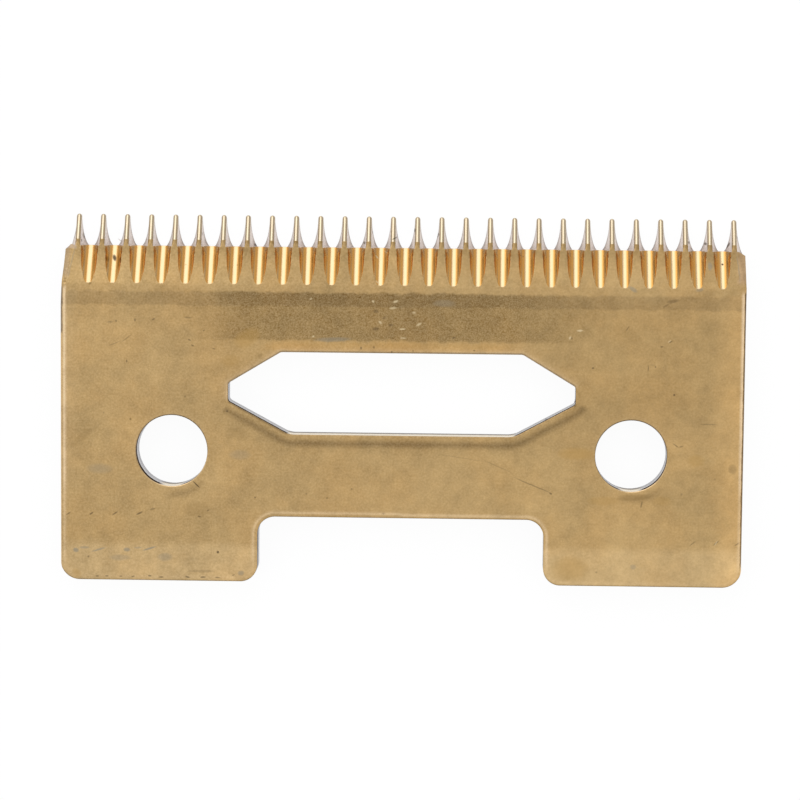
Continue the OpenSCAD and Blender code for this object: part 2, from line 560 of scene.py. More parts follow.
    def height(self, plan: np.ndarray) -> np.ndarray:
        """Height of the face.

        Args:
            plan: Places in the plan, one in each row.

        Returns:
            The height of each.
        """
        across, along = plan[:, 0], plan[:, 1]
        body = np.minimum(self.plate(along), self.sides(across)) - self.edges(plan)
        off_middle = self.off_flute(across)
        facet, flute = self.facet(off_middle, along), self.flute(off_middle, along)
        return np.minimum(body, np.where(self.outermost(across), facet, flute)) - self.dip(plan)

    def in_flute(self, plan: np.ndarray) -> np.ndarray:
        """Whether places in the plan lie in a flute."""
        across, along = plan[:, 0], plan[:, 1]
        return self.flute(self.off_flute(across), along) < self.plate(along)


class CuttingFace:
    """The height of the ground face under the blade."""

    def __init__(self, sizes: BladeSizes) -> None:
        """Keeps the sizes of the lands and the relief between them."""
        self.sizes = sizes

    @property
    def breaks(self) -> list[float]:
        """Where the relief starts and ends and its slopes turn."""
        s = self.sizes
        relief_end = s.length - s.front_land
        return [s.heel_land, s.heel_land + s.relief_ramp, relief_end - s.relief_ramp, relief_end]

    def height(self, plan: np.ndarray) -> np.ndarray:
        """Height of the face at places in the plan."""
        depth = self.sizes.relief_depth
        return np.interp(plan[:, 1], self.breaks, [0.0, depth, depth, 0.0])


class MeshDraft:
    """The points and faces of one mesh, gathered in millimetres."""

    def __init__(self) -> None:
        """Starts an empty draft."""
        self.points: list[np.ndarray] = []
        self.count = 0
        self.faces: list[tuple[int, ...]] = []
        self.finishes: list[int] = []

    def add_points(self, points: np.ndarray) -> np.ndarray:
        """Adds points and returns their numbers."""
        self.points.append(np.asarray(points, float))
        numbers = np.arange(self.count, self.count + len(points))
        self.count += len(points)
        return numbers

    def add_faces(self, faces: np.ndarray | list, finish: Finish) -> None:
        """Adds faces of one finish."""
        self.faces.extend(tuple(int(n) for n in face) for face in faces)
        self.finishes.extend([finish.value] * len(faces))

    def add_grid(self, grid: np.ndarray, finish: Finish, closed: bool) -> None:
        """Adds the four-sided faces between the rows of a grid of points.

        Args:
            grid: Points, as rows by columns by three.
            finish: The finish that they get.
            closed: Whether the last column joins the first.
        """
        rows, columns = grid.shape[:2]
        numbers = self.add_points(grid.reshape(-1, 3)).reshape(rows, columns)
        if closed:
            numbers = np.column_stack([numbers, numbers[:, 0]])
        near, far = numbers[:-1], numbers[1:]
        quads = np.stack([near[:, :-1], near[:, 1:], far[:, 1:], far[:, :-1]], axis=-1)
        self.add_faces(quads.reshape(-1, 4), finish)

    def build(self, name: str, sizes: BladeSizes, sharp_angle: float) -> bpy.types.Object:
        """Welds the draft into a closed mesh in the row frame.

        Args:
            name: Name of the piece.
            sizes: The blade's sizes, for the place of its origin.
            sharp_angle: Angle from which an edge stays sharp, in radians.

        Returns:
            The new object.
        """
        points = np.concatenate(self.points)
        points[:, 1] -= sizes.length / 2
        mesh = bpy.data.meshes.new(name)
        mesh.from_pydata((points * MM).tolist(), [], self.faces)
        mesh.polygons.foreach_set("material_index", self.finishes)
        mesh.shade_smooth()
        work = bmesh.new()
        work.from_mesh(mesh)
        bmesh.ops.remove_doubles(work, verts=work.verts, dist=WELD * MM)
        bmesh.ops.recalc_face_normals(work, faces=work.faces)
        loose = [v for v in work.verts if not v.link_faces]
        bmesh.ops.delete(work, geom=loose, context="VERTS")
        open_edges = sum(1 for e in work.edges if len(e.link_faces) != 2)
        for edge in work.edges:
            finishes = {face.material_index for face in edge.link_faces}
            edge.smooth = len(finishes) == 1 and edge.calc_face_angle(0) < sharp_angle
        work.to_mesh(mesh)
        work.free()
        piece = bpy.data.objects.new(name, mesh)
        bpy.context.scene.collection.objects.link(piece)
        LOG.info("%s: %d faces, %d open edges", name, len(mesh.polygons), open_edges)
        return piece


class PlanMesh:
    """Triangles that fill a region of the plan, through chosen points and lines."""

    CHUNK = 4000

    def __init__(self) -> None:
        """Starts an empty plan."""
        self.points: list[np.ndarray] = []
        self.count = 0
        self.lines: list[tuple[int, int]] = []
        self.borders: list[np.ndarray] = []

    @staticmethod
    def _single(points: np.ndarray) -> np.ndarray:
        """Rounds points to the precision that the filler works in."""
        return np.asarray(points, np.float32).astype(float)

    def add_points(self, points: np.ndarray) -> np.ndarray:
        """Adds points and returns their numbers."""
        self.points.append(self._single(points))
        numbers = np.arange(self.count, self.count + len(points))
        self.count += len(points)
        return numbers

    def add_line(self, points: np.ndarray, closed: bool = False) -> None:
        """Adds a line that the triangles keep to.

        Args:
            points: The points along it.
            closed: Whether its end joins its start.
        """
        numbers = self.add_points(points).tolist()
        self.lines.extend(zip(numbers, numbers[1:]))
        if closed:
            self.lines.append((numbers[-1], numbers[0]))

    def add_border(self, points: np.ndarray) -> None:
        """Adds a closed line that bounds the region, outside or round a hole."""
        self.add_line(points, closed=True)
        self.borders.append(self._single(points))

    def inside(self, places: np.ndarray) -> np.ndarray:
        """Whether places lie in the region between the borders."""
        starts = np.concatenate(self.borders)
        ends = np.concatenate([np.roll(b, -1, axis=0) for b in self.borders])
        inside = np.zeros(len(places), bool)
        for first in range(0, len(places), self.CHUNK):
            part = places[first : first + self.CHUNK]
            x, y = part[:, :1], part[:, 1:]
            spans = (starts[:, 1] > y) != (ends[:, 1] > y)
            rise = ends[:, 1] - starts[:, 1]
            rise = np.where(rise == 0, 1.0, rise)
            crossing = starts[:, 0] + (y - starts[:, 1]) * (ends[:, 0] - starts[:, 0]) / rise
            inside[first : first + self.CHUNK] = (spans & (x < crossing)).sum(axis=1) % 2 == 1
        return inside

    def triangles(self) -> tuple[np.ndarray, np.ndarray]:
        """Fills the region.

        Returns:
            The points of the plan, and the numbers of each triangle's points.
        """
        points = np.concatenate(self.points)
        made = delaunay_2d_cdt(points.tolist(), self.lines, [], 0, PLAN_TOLERANCE, False)
        plan = np.array([tuple(p) for p in made[0]])
        faces = np.array([tuple(f) for f in made[2]])
        return plan, faces[self.inside(plan[faces].mean(axis=1))]


class Comb:
    """The teeth, the gaps between them and the flutes behind the gaps."""

    STATION = 0.1
    FLUTE_SHARES = (0.25, 0.48, 0.68, 0.84, 0.94)
    FLUTE_END_ROUND = 0.32
    OUTSIDE_ROWS = (0.04, 0.12)
    RIDGE_SHARES = (-1.0, -0.9, -0.72, -0.5, -0.25, 0.0, 0.25, 0.5, 0.72, 0.9, 1.0)
    RIDGE_DROP = 0.14
    TIP_DROP_SHARE = 0.7
    ARC_POINTS = 8
    BREAK_MARGIN = 0.015
    TIP_STATIONS = 7

    def __init__(self, sizes: BladeSizes) -> None:
        """Keeps the blade's sizes."""
        self.sizes = sizes

    @property
    def gaps(self) -> np.ndarray:
        """The middles of the gaps, with the half gaps at both sides."""
        s = self.sizes
        return (np.arange(s.tooth_count + 1) - s.tooth_count / 2) * s.pitch + s.comb_shift

    @property
    def teeth(self) -> np.ndarray:
        """The middles of the teeth."""
        return (self.gaps[:-1] + self.gaps[1:]) / 2

    @property
    def stations(self) -> np.ndarray:
        """Places along the flutes, from the roots of the teeth back."""
        s = self.sizes
        count = round((s.root - s.flute_end) / self.STATION)
        return np.linspace(s.root, s.flute_end, count + 1)

    def ridge_height(self, along: np.ndarray) -> np.ndarray:
        """Height of the teeth along their ridges."""
        s = self.sizes
        bevel = s.thickness - s.front_slope * (along - s.bevel_break)
        tip = s.tip_height + s.tip_slope * (s.length - along)
        return np.minimum(bevel, tip)

    def gap_axis(self, along: np.ndarray | float) -> np.ndarray | float:
        """Height of the middle line of the round cutter that opened the gaps."""
        s = self.sizes
        fall = math.tan(s.gap_angle) * (along - s.root)
        return s.gap_radius / math.cos(s.gap_angle) - s.gap_root_drop - fall

    def wall_offset(self, along: float, height: np.ndarray) -> np.ndarray:
        """Half the width of a tooth at heights on its wall.

        Args:
            along: Place along the blade.
            height: The heights.

        Returns:
            The distance of the wall from the middle of the tooth.
        """
        s = self.sizes
        under = np.clip(self.gap_axis(along) - height, 0, None) * math.cos(s.gap_angle)
        half_gap = np.sqrt(np.clip(s.gap_radius**2 - under**2, 0, None))
        front = s.length - s.tip_radius
        past = np.clip(along - front, 0, s.tip_radius)
        limit = math.sqrt(s.tip_radius**2 - past**2) if past > 0 else s.pitch
        return np.minimum(s.pitch / 2 - half_gap, limit)

    def wall(self, along: float, shoulder: float) -> np.ndarray:
        """One wall of a tooth from its foot to its shoulder.

        Args:
            along: Place along the blade.
            shoulder: Height where the wall meets the ridge.

        Returns:
            Rows of half width and height.
        """
        knee = float(np.clip(self.gap_axis(along), 0.2 * shoulder, 0.8 * shoulder))
        shares = np.sin(np.linspace(0, math.pi / 2, self.ARC_POINTS))
        heights = np.append(shares * knee, [(knee + shoulder) / 2, shoulder])
        return np.column_stack([self.wall_offset(along, heights), heights])

    def section(self, along: float) -> tuple[np.ndarray, np.ndarray]:
        """The section across a tooth.

        Args:
            along: Place along the blade.

        Returns:
            Half of the wall points, and the ridge points from left to right.
        """
        s = self.sizes
        top = float(self.ridge_height(np.array(along)))
        grow = float(smooth_step(s.root, s.tip_break, np.array(along)))
        drop = min(self.RIDGE_DROP * grow, self.TIP_DROP_SHARE * top)
        wall = self.wall(along, top - drop)
        shares = np.array(self.RIDGE_SHARES)
        sink = drop * (1 - np.sqrt(1 - shares**2))
        ridge = np.column_stack([shares * wall[-1, 0], top - sink])
        return wall, ridge

    def tooth_stations(self) -> np.ndarray:
        """Places along a tooth, from its root to its tip."""
        s = self.sizes
        front = s.length - s.tip_radius
        base = np.linspace(s.root, s.tip_break - self.BREAK_MARGIN, 5)
        shaft = np.linspace(s.tip_break + self.BREAK_MARGIN, front, 12)
        turns = np.linspace(0, math.pi / 2, self.TIP_STATIONS)[1:]
        return np.concatenate([base, shaft, front + s.tip_radius * np.sin(turns)])

    def flute_edge(self, face: OuterFace) -> np.ndarray:
        """Half the edge of a flute in the plan, from the root of the teeth to its end.

        Args:
            face: The face that the flute is cut into.

        Returns:
            Rows of half width and place along the blade.
        """
        s = self.sizes
        along = np.linspace(s.root, s.bevel_break - 0.2, 1200)
        plate = face.plate(along)
        widest = np.linspace(0, s.flute_radius * 0.9999, 400)
        floor = face.flute(widest[None, :], along[:, None])
        open_share = floor < plate[:, None]
        half = np.where(open_share.any(axis=1), widest[-1] * open_share.mean(axis=1), 0)
        end = int(np.argmax(half <= 0))
        curve = np.column_stack([half[:end], along[:end]])
        curve = np.vstack([curve, [0.0, along[end]]])
        length = np.append(0, np.cumsum(np.hypot(*np.diff(curve, axis=0).T)))
        count = round(length[-1] / self.STATION)
        marks = np.linspace(0, length[-1], count + 1)
        return np.column_stack([np.interp(marks, length, curve[:, k]) for k in (0, 1)])

    def crease(self, gap: float, edge: np.ndarray) -> np.ndarray:
        """Places across the blade where a gap's crease gets its points.

        Args:
            gap: The middle of the gap.
            edge: Half the edge of a flute.

        Returns:
            The places, from left to right.
        """
        s = self.sizes
        widest = edge[0, 0]
        right = [share * widest for share in self.FLUTE_SHARES]
        right += [widest, widest + self.OUTSIDE_ROWS[0], s.gap_radius]
        return gap + np.array([-x for x in reversed(right)] + [0.0] + right)


@dataclass(frozen=True)
class BladeShape:
    """Everything that the blade's shape is worked out from."""

    sizes: BladeSizes
    comb: Comb
    outlines: Outlines
    outer: OuterFace
    under: CuttingFace

    @classmethod
    def from_frame(cls) -> "BladeShape":
        """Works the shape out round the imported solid."""
        sizes = BladeSizes.from_frame()
        comb = Comb(sizes)
        under = CuttingFace(sizes)
        outlines = Outlines(sizes, under.breaks + comb.stations[1:].tolist())
        return cls(sizes, comb, outlines, OuterFace(sizes, outlines), under)


class BladePiece:
    """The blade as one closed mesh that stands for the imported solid."""

    NAME = "gold_comb_blade"
    SHARP_ANGLE = math.radians(50)
    HOLE_ROWS = (0.02, 0.05, 0.09, 0.14, 0.2, 0.3, 0.42, 0.58, 0.76, 0.95)
    OUTER_ROWS = (0.008, 0.027, 0.055, 0.09, 0.135, 0.18, 0.235, 0.295, 0.38, 0.5)
    BODY_GRID = 0.42
    BREAK_ROW = 0.09
    BREAK_COLUMN = 0.4
    BREAK_BEHIND = 0.95
    CLEAR_OF_ROWS = 0.2
    CORNER_BLEND = 1.0
    LIFT_EDGE = (-0.75, -0.6)
    LIFT_FADE = 1.5
    RUB_LENGTH = 4.2
    RUB_FADE = 0.3
    RUB_INNER = 0.7
    RUB_OUTER = 0.1
    # Sizes of the painted light and shade by the edges: the painted highlight along the sides and at the
    # lips, the painted shadow line, and the painted band of shade with its thin painted shadow line.
    SIDE_SHEEN_MIDDLE = 0.245
    SIDE_SHEEN_SHIFT = 0.035
    SIDE_SHEEN_WIDTH = 0.095
    LIP_HIGHLIGHT_REACH = 0.045
    UPPER_HIGHLIGHT_REACH = 0.16
    LIP_SHADOW_REACH = 0.05
    SHADE_BAND_MIDDLE = 0.58
    SHADE_BAND_WIDTH = 0.26
    LINE_MIDDLE = 0.05
    LINE_WIDTH = 0.045
    LIT_SIDE = (-0.3, 0.95)
    PROBE = 0.01

    def __init__(self, shape: BladeShape) -> None:
        """Keeps the shape and starts an empty draft."""
        self.shape = shape
        self.draft = MeshDraft()
        self.edge = shape.comb.flute_edge(shape.outer)

    def _side_at(self, along: np.ndarray) -> np.ndarray:
        """Half the width of the blade at places along its front."""
        s = self.shape.sizes
        share = np.clip((along - s.bevel_break) / (s.root - s.bevel_break), 0, 1)
        return s.half_width - s.front_taper * share

    def _flute_points(self, plan: PlanMesh) -> None:
        """Lays points in and round every flute."""
        comb, edge = self.shape.comb, self.edge
        tangent = np.gradient(edge, axis=0)
        tangent /= np.linalg.norm(tangent, axis=1)[:, None]
        outward = np.column_stack([-tangent[:, 1], tangent[:, 0]])
        outward[0] = (1, 0)
        outward[-1] = (0, -1)
        spine = np.maximum(edge[:, 1], edge[-1, 1] + comb.FLUTE_END_ROUND)
        spine = np.column_stack([np.zeros(len(edge)), spine])
        lines = [edge]
        lines += [edge + outward * row for row in comb.OUTSIDE_ROWS]
        inner = [spine + (edge - spine) * share for share in comb.FLUTE_SHARES]
        for gap in comb.gaps:
            for number, line in enumerate(lines + inner):
                start = 1 if number == 2 else 0
                for side in (-1, 1):
                    moved = line[start:] * (side, 1) + (gap, 0)
                    kept = np.abs(moved[:, 0]) < self._side_at(moved[:, 1]) - 0.02
                    plan.add_points(moved[kept])
            kept = spine[1:] + (gap, 0)
            plan.add_points(kept)
        for tooth in comb.teeth:
            rows = comb.stations[1:]
            plan.add_points(np.column_stack([np.full(len(rows), tooth), rows]))

    def _crease(self) -> np.ndarray:
        """Places across the blade along the roots of the teeth, from right to left."""
        comb, side = self.shape.comb, self.shape.outlines.side_at_root
        across = [comb.crease(gap, self.edge) for gap in comb.gaps]
        ridge = np.array(comb.RIDGE_SHARES[1:-1]) * self.shape.sizes.ridge_width / 2
        across += [tooth + ridge for tooth in comb.teeth]
        across = np.sort(np.concatenate(across))[::-1]
        across = across[np.abs(across) < side - 0.01]
        return np.append(across[np.insert(np.abs(np.diff(across)) > 1e-6, 0, True)], [])

    def _body_points(self, plan: PlanMesh) -> None:
        """Lays an even field of points over the flat body."""
        s = self.shape.sizes
        start = s.bevel_break - self.BREAK_BEHIND
        rows = np.arange(0.3, start, self.BODY_GRID * math.sqrt(3) / 2)
        field = []
        for number, row in enumerate(rows):
            shift = self.BODY_GRID / 2 * (number % 2)
            across = np.arange(-s.half_width + shift, s.half_width, self.BODY_GRID)
            field.append(np.column_stack([across, np.full(len(across), row)]))
        for row in np.arange(start, self.edge[-1, 1] - 0.08, self.BREAK_ROW):
            across = np.arange(-s.half_width, s.half_width, self.BREAK_COLUMN)
            field.append(np.column_stack([across, np.full(len(across), row)]))
        field = np.concatenate(field)
        outlines = self.shape.outlines
        clear = outlines.outer.distance(field) > self.OUTER_ROWS[-1] + self.CLEAR_OF_ROWS / 2
        clear &= outlines.window.distance(field) > self.HOLE_ROWS[-1] + self.CLEAR_OF_ROWS
        clear &= outlines.hole_distance(field) > self.HOLE_ROWS[-1] + self.CLEAR_OF_ROWS
        field = field[clear]
        region = PlanMesh()
        for path in outlines.all:
            region.add_border(path.points)
        plan.add_points(field[region.inside(field)])

    def add_outer_face(self) -> None:
        """Adds the coated face with its flutes."""
        shape = self.shape
        s, outlines = shape.sizes, shape.outlines
        plan = PlanMesh()
        crease = self._crease()
        front = np.column_stack([crease, np.full(len(crease), s.root)])
        plan.add_border(np.vstack([outlines.outer.points, front]))
        for path in outlines.all[1:]:
            plan.add_border(path.points)
            for row in self.HOLE_ROWS:
                plan.add_points(path.inset(row))
        for row in self.OUTER_ROWS:
            line = outlines.outer.inset(row)
            plan.add_points(line[line[:, 1] < s.flute_end - 0.1])
        self._flute_points(plan)
        self._body_points(plan)
        places, faces = plan.triangles()
        heights = shape.outer.height(places)
        numbers = self.draft.add_points(np.column_stack([places, heights]))
        middles = places[faces].mean(axis=1)
        fluted = shape.outer.in_flute(middles)
        fluted &= ~shape.outer.outermost(middles[:, 0])
        self.draft.add_faces(numbers[faces[~fluted]], Finish.SATIN)
        self.draft.add_faces(numbers[faces[fluted]], Finish.BRIGHT)

    def _wall_heights(self, path: PlanPath) -> tuple[np.ndarray, np.ndarray]:
        """Heights of the upper and the lower edge of a wall."""
        return self.shape.outer.height(path.points), self.shape.under.height(path.points)

    def add_walls(self) -> None:
        """Adds the punched walls of the outline, the window and the holes."""
        for path in self.shape.outlines.all:
            upper, lower = self._wall_heights(path)
            rows = [
                np.column_stack([path.points, upper + (lower - upper) * share])
                for share in self.shape.outlines.WALL_SHARES
            ]
            self.draft.add_grid(np.array(rows), Finish.CUT, path.closed)

    def add_teeth(self) -> None:
        """Adds the walls and ridges of all the teeth."""
        comb = self.shape.comb
        stations = comb.tooth_stations()
        sections = [comb.section(float(along)) for along in stations]
        sizes = self.shape.sizes
        for tooth in comb.teeth:
            for side in (-1, 1):
                grid = [
                    np.column_stack(
                        [tooth + side * wall[:, 0], np.full(len(wall), along), wall[:, 1]]
                    )
                    for along, (wall, _) in zip(stations, sections)
                ]
                self.draft.add_grid(np.array(grid), Finish.CUT, closed=False)
            grid = np.array(
                [
                    np.column_stack([tooth + ridge[:, 0], np.full(len(ridge), along), ridge[:, 1]])
                    for along, (_, ridge) in zip(stations, sections)
                ]
            )
            base = int(np.sum(stations < sizes.tip_break))
            self.draft.add_grid(grid[: base + 1], Finish.SATIN, closed=False)
            self.draft.add_grid(grid[base:], Finish.RIDGE, closed=False)

    def add_roots(self) -> None:
        """Adds the upright face that ends each gap under its flute."""
        shape = self.shape
        s, comb, side = shape.sizes, shape.comb, shape.outlines.side_at_root
        wall, _ = comb.section(s.root)
        across_gap = s.pitch / 2 - wall[:, 0]
        for gap in comb.gaps:
            top = comb.crease(float(gap), self.edge)
            left = np.column_stack([gap - across_gap, wall[:, 1]])
            right = np.column_stack([gap + across_gap, wall[:, 1]])
            if abs(gap) > side - s.gap_radius:
                top = top[np.abs(top) < side - 0.01]
                end = math.copysign(side, gap)
                top = np.append(top, end) if gap > 0 else np.insert(top, 0, end)
                upper = float(shape.outer.height(np.array([[end, s.root]]))[0])
                heights = upper * (1 - np.array(shape.outlines.WALL_SHARES[::-1]))
                cut = np.column_stack([np.full(len(heights), end), heights])
                if gap > 0:
                    right = cut
                else:
                    left = cut
            plan = np.column_stack([top, np.full(len(top), s.root)])
            crest = np.column_stack([top, shape.outer.height(plan)])
            ring = np.vstack([left[:-1], crest, right[:-1][::-1]])
            points = np.column_stack([ring[:, 0], np.full(len(ring), s.root), ring[:, 1]])
            numbers = self.draft.add_points(points)
            self.draft.add_faces([numbers], Finish.CUT)

    def add_cutting_face(self) -> None:
        """Adds the ground face with its lands and relief."""
        shape = self.shape
        s, comb, outlines = shape.sizes, shape.comb, shape.outlines
        stations = comb.tooth_stations()
        feet = np.array([comb.section(float(along))[0][0, 0] for along in stations])
        front = []
        for tooth in comb.teeth[::-1]:
            front.append(np.column_stack([tooth + feet, stations]))
            front.append(np.column_stack([tooth - feet, stations])[-2::-1])
        plan = PlanMesh()
        plan.add_border(np.vstack([outlines.outer.points, *front]))
        for path in outlines.all[1:]:
            plan.add_border(path.points)
        for place in shape.under.breaks:
            side = float(self._side_at(np.array([place]))[0])
            across = np.linspace(-side, side, 60)[1:-1]
            plan.add_points(np.column_stack([across, np.full(len(across), place)]))
        places, faces = plan.triangles()
        heights = shape.under.height(places)
        numbers = self.draft.add_points(np.column_stack([places, heights]))
        self.draft.add_faces(numbers[faces], Finish.GROUND)

    def _cut_corners(self) -> None:
        """Slants the two front corners back, and draws in the worn side by the left one."""
        s, side = self.shape.sizes, self.shape.outlines.side_at_root
        for points in self.draft.points:
            across, along = points[:, 0], points[:, 1]
            out = np.abs(across) - side
            share = np.clip(out / s.corner_run + 1, 0, 1)
            near = smooth_step(s.root - self.CORNER_BLEND, s.root, along)
            drop = s.corner_drop * share * near
            lift = s.corner_lift * smooth_step(*self.LIFT_EDGE, out)
            lift *= np.clip(out / self.LIFT_EDGE[1], 0, 1) * near * (across < 0)
            drop -= lift * (1 - smooth_step(s.root, s.root + self.LIFT_FADE, along))
            bevel = s.thickness - s.front_slope * (along - s.bevel_break)
            worn = smooth_step(s.root - self.RUB_LENGTH, s.root - self.RUB_FADE, along)
            worn *= smooth_step(side - self.RUB_INNER, side - self.RUB_OUTER, -across)
            points[:, 0] += s.left_rub * worn
            points[:, 1] -= drop
            points[:, 2] *= 1 + s.front_slope * drop / bevel

    def _lit_share(self, line: Measure, plan: np.ndarray) -> np.ndarray:
        """How far the nearest edge faces the light, from -1 to 1."""
        step = np.array(self.LIT_SIDE) * self.PROBE
        return (line(plan - step) - line(plan + step)) / (2 * self.PROBE)

    def _mark_edges(self, mesh: bpy.types.Mesh) -> None:
        """Notes on the mesh where its edges get painted highlights, partly worn bright, and painted shadow
        lines and bands of shade.

        Args:
            mesh: The welded mesh.
        """
        places = np.empty(len(mesh.vertices) * 3)
        mesh.vertices.foreach_get("co", places)
        plan = places.reshape(-1, 3)[:, :2] / MM + (0, self.shape.sizes.length / 2)
        sizes, lines = self.shape.sizes, self.shape.outlines
        away, along = lines.outer.distance(plan), plan[:, 1]
        # Painted highlight along the rounded sides, partly worn bright, weak at the heel and gone on the
        # front bevel.
        middle = self.SIDE_SHEEN_MIDDLE - self.SIDE_SHEEN_SHIFT * np.sign(plan[:, 0])
        highlight_and_rubbing = np.exp(-(((away - middle) / self.SIDE_SHEEN_WIDTH) ** 4))
        highlight_and_rubbing *= 0.1 + 0.35 * smooth_step(0.8, 2.0, along) + 0.55 * smooth_step(5.5, 7.5, along)
        highlight_and_rubbing *= 1 - smooth_step(sizes.bevel_break, sizes.flute_end, along)
        shadow_at_lip, band_of_shade = np.zeros(len(plan)), np.zeros(len(plan))
        # Each row: the distance to the edge; where the painted band of shade starts and is full as the
        # edge turns to the light; the weight of the painted shadow line; the painted highlight on edges
        # turned from the light and on edges facing it; and the weight of the thin painted shadow line.
        edges = (
            (lines.window.distance, 0.45, 0.75, 0.0, 0.65, 0.15, 1.0),
            (lines.hole_distance, 0.8, 1.1, 0.75, 0.15, 0.9, 0.0),
        )
        for line, low, high, shadow_weight, upper, lower, lined in edges:
            far, lit = line(plan), self._lit_share(line, plan)
            # Painted highlight at the lip: on edges that face the light, and softer and wider on edges
            # turned from it.
            lip_highlight = lower * np.exp(-((far / self.LIP_HIGHLIGHT_REACH) ** 2)) * smooth_step(0.2, 0.8, lit)
            lip_highlight += upper * np.exp(-far / self.UPPER_HIGHLIGHT_REACH) * (1 - smooth_step(-0.5, 0.2, lit))
            highlight_and_rubbing = np.maximum(highlight_and_rubbing, lip_highlight)
            # Painted shadow line at lips turned from the light.
            shaded = 1 - smooth_step(0.0, 0.45, lit)
            shadow_at_lip = np.maximum(shadow_at_lip, np.exp(-((far / self.LIP_SHADOW_REACH) ** 2)) * shaded * shadow_weight)
            # Painted band of shade a little way out from edges that face the light, with a thin painted
            # shadow line near the lip.
            band = np.exp(-(((far - self.SHADE_BAND_MIDDLE) / self.SHADE_BAND_WIDTH) ** 2))
            thin = lined * np.exp(-(((far - self.LINE_MIDDLE) / self.LINE_WIDTH) ** 2))
            band_of_shade = np.maximum(band_of_shade, np.maximum(band, thin) * smooth_step(low, high, lit))
        for name, values in ((EDGE_SHEEN_AND_RUBBING, highlight_and_rubbing), (EDGE_LIP_SHADOW, shadow_at_lip), (EDGE_SHADE_BAND, band_of_shade)):
            mesh.attributes.new(name, "FLOAT", "POINT").data.foreach_set("value", values)

    def build(self) -> bpy.types.Object:
        """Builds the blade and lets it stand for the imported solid.

        Returns:
            The blade.
        """
        self.add_outer_face()
        self.add_walls()
        self.add_teeth()
        self.add_roots()
        self.add_cutting_face()
        self._cut_corners()
        piece = self.draft.build(self.NAME, self.shape.sizes, self.SHARP_ANGLE)
        self._mark_edges(piece.data)
        marks = MarkMap(self.shape, Studio())
        for finish in Finish:
            piece.data.materials.append(FINISHES[finish].material(self.shape, marks))
        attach(piece, BODY)
        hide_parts(NODE)
        return piece


Source = bpy.types.NodeSocket | float | tuple


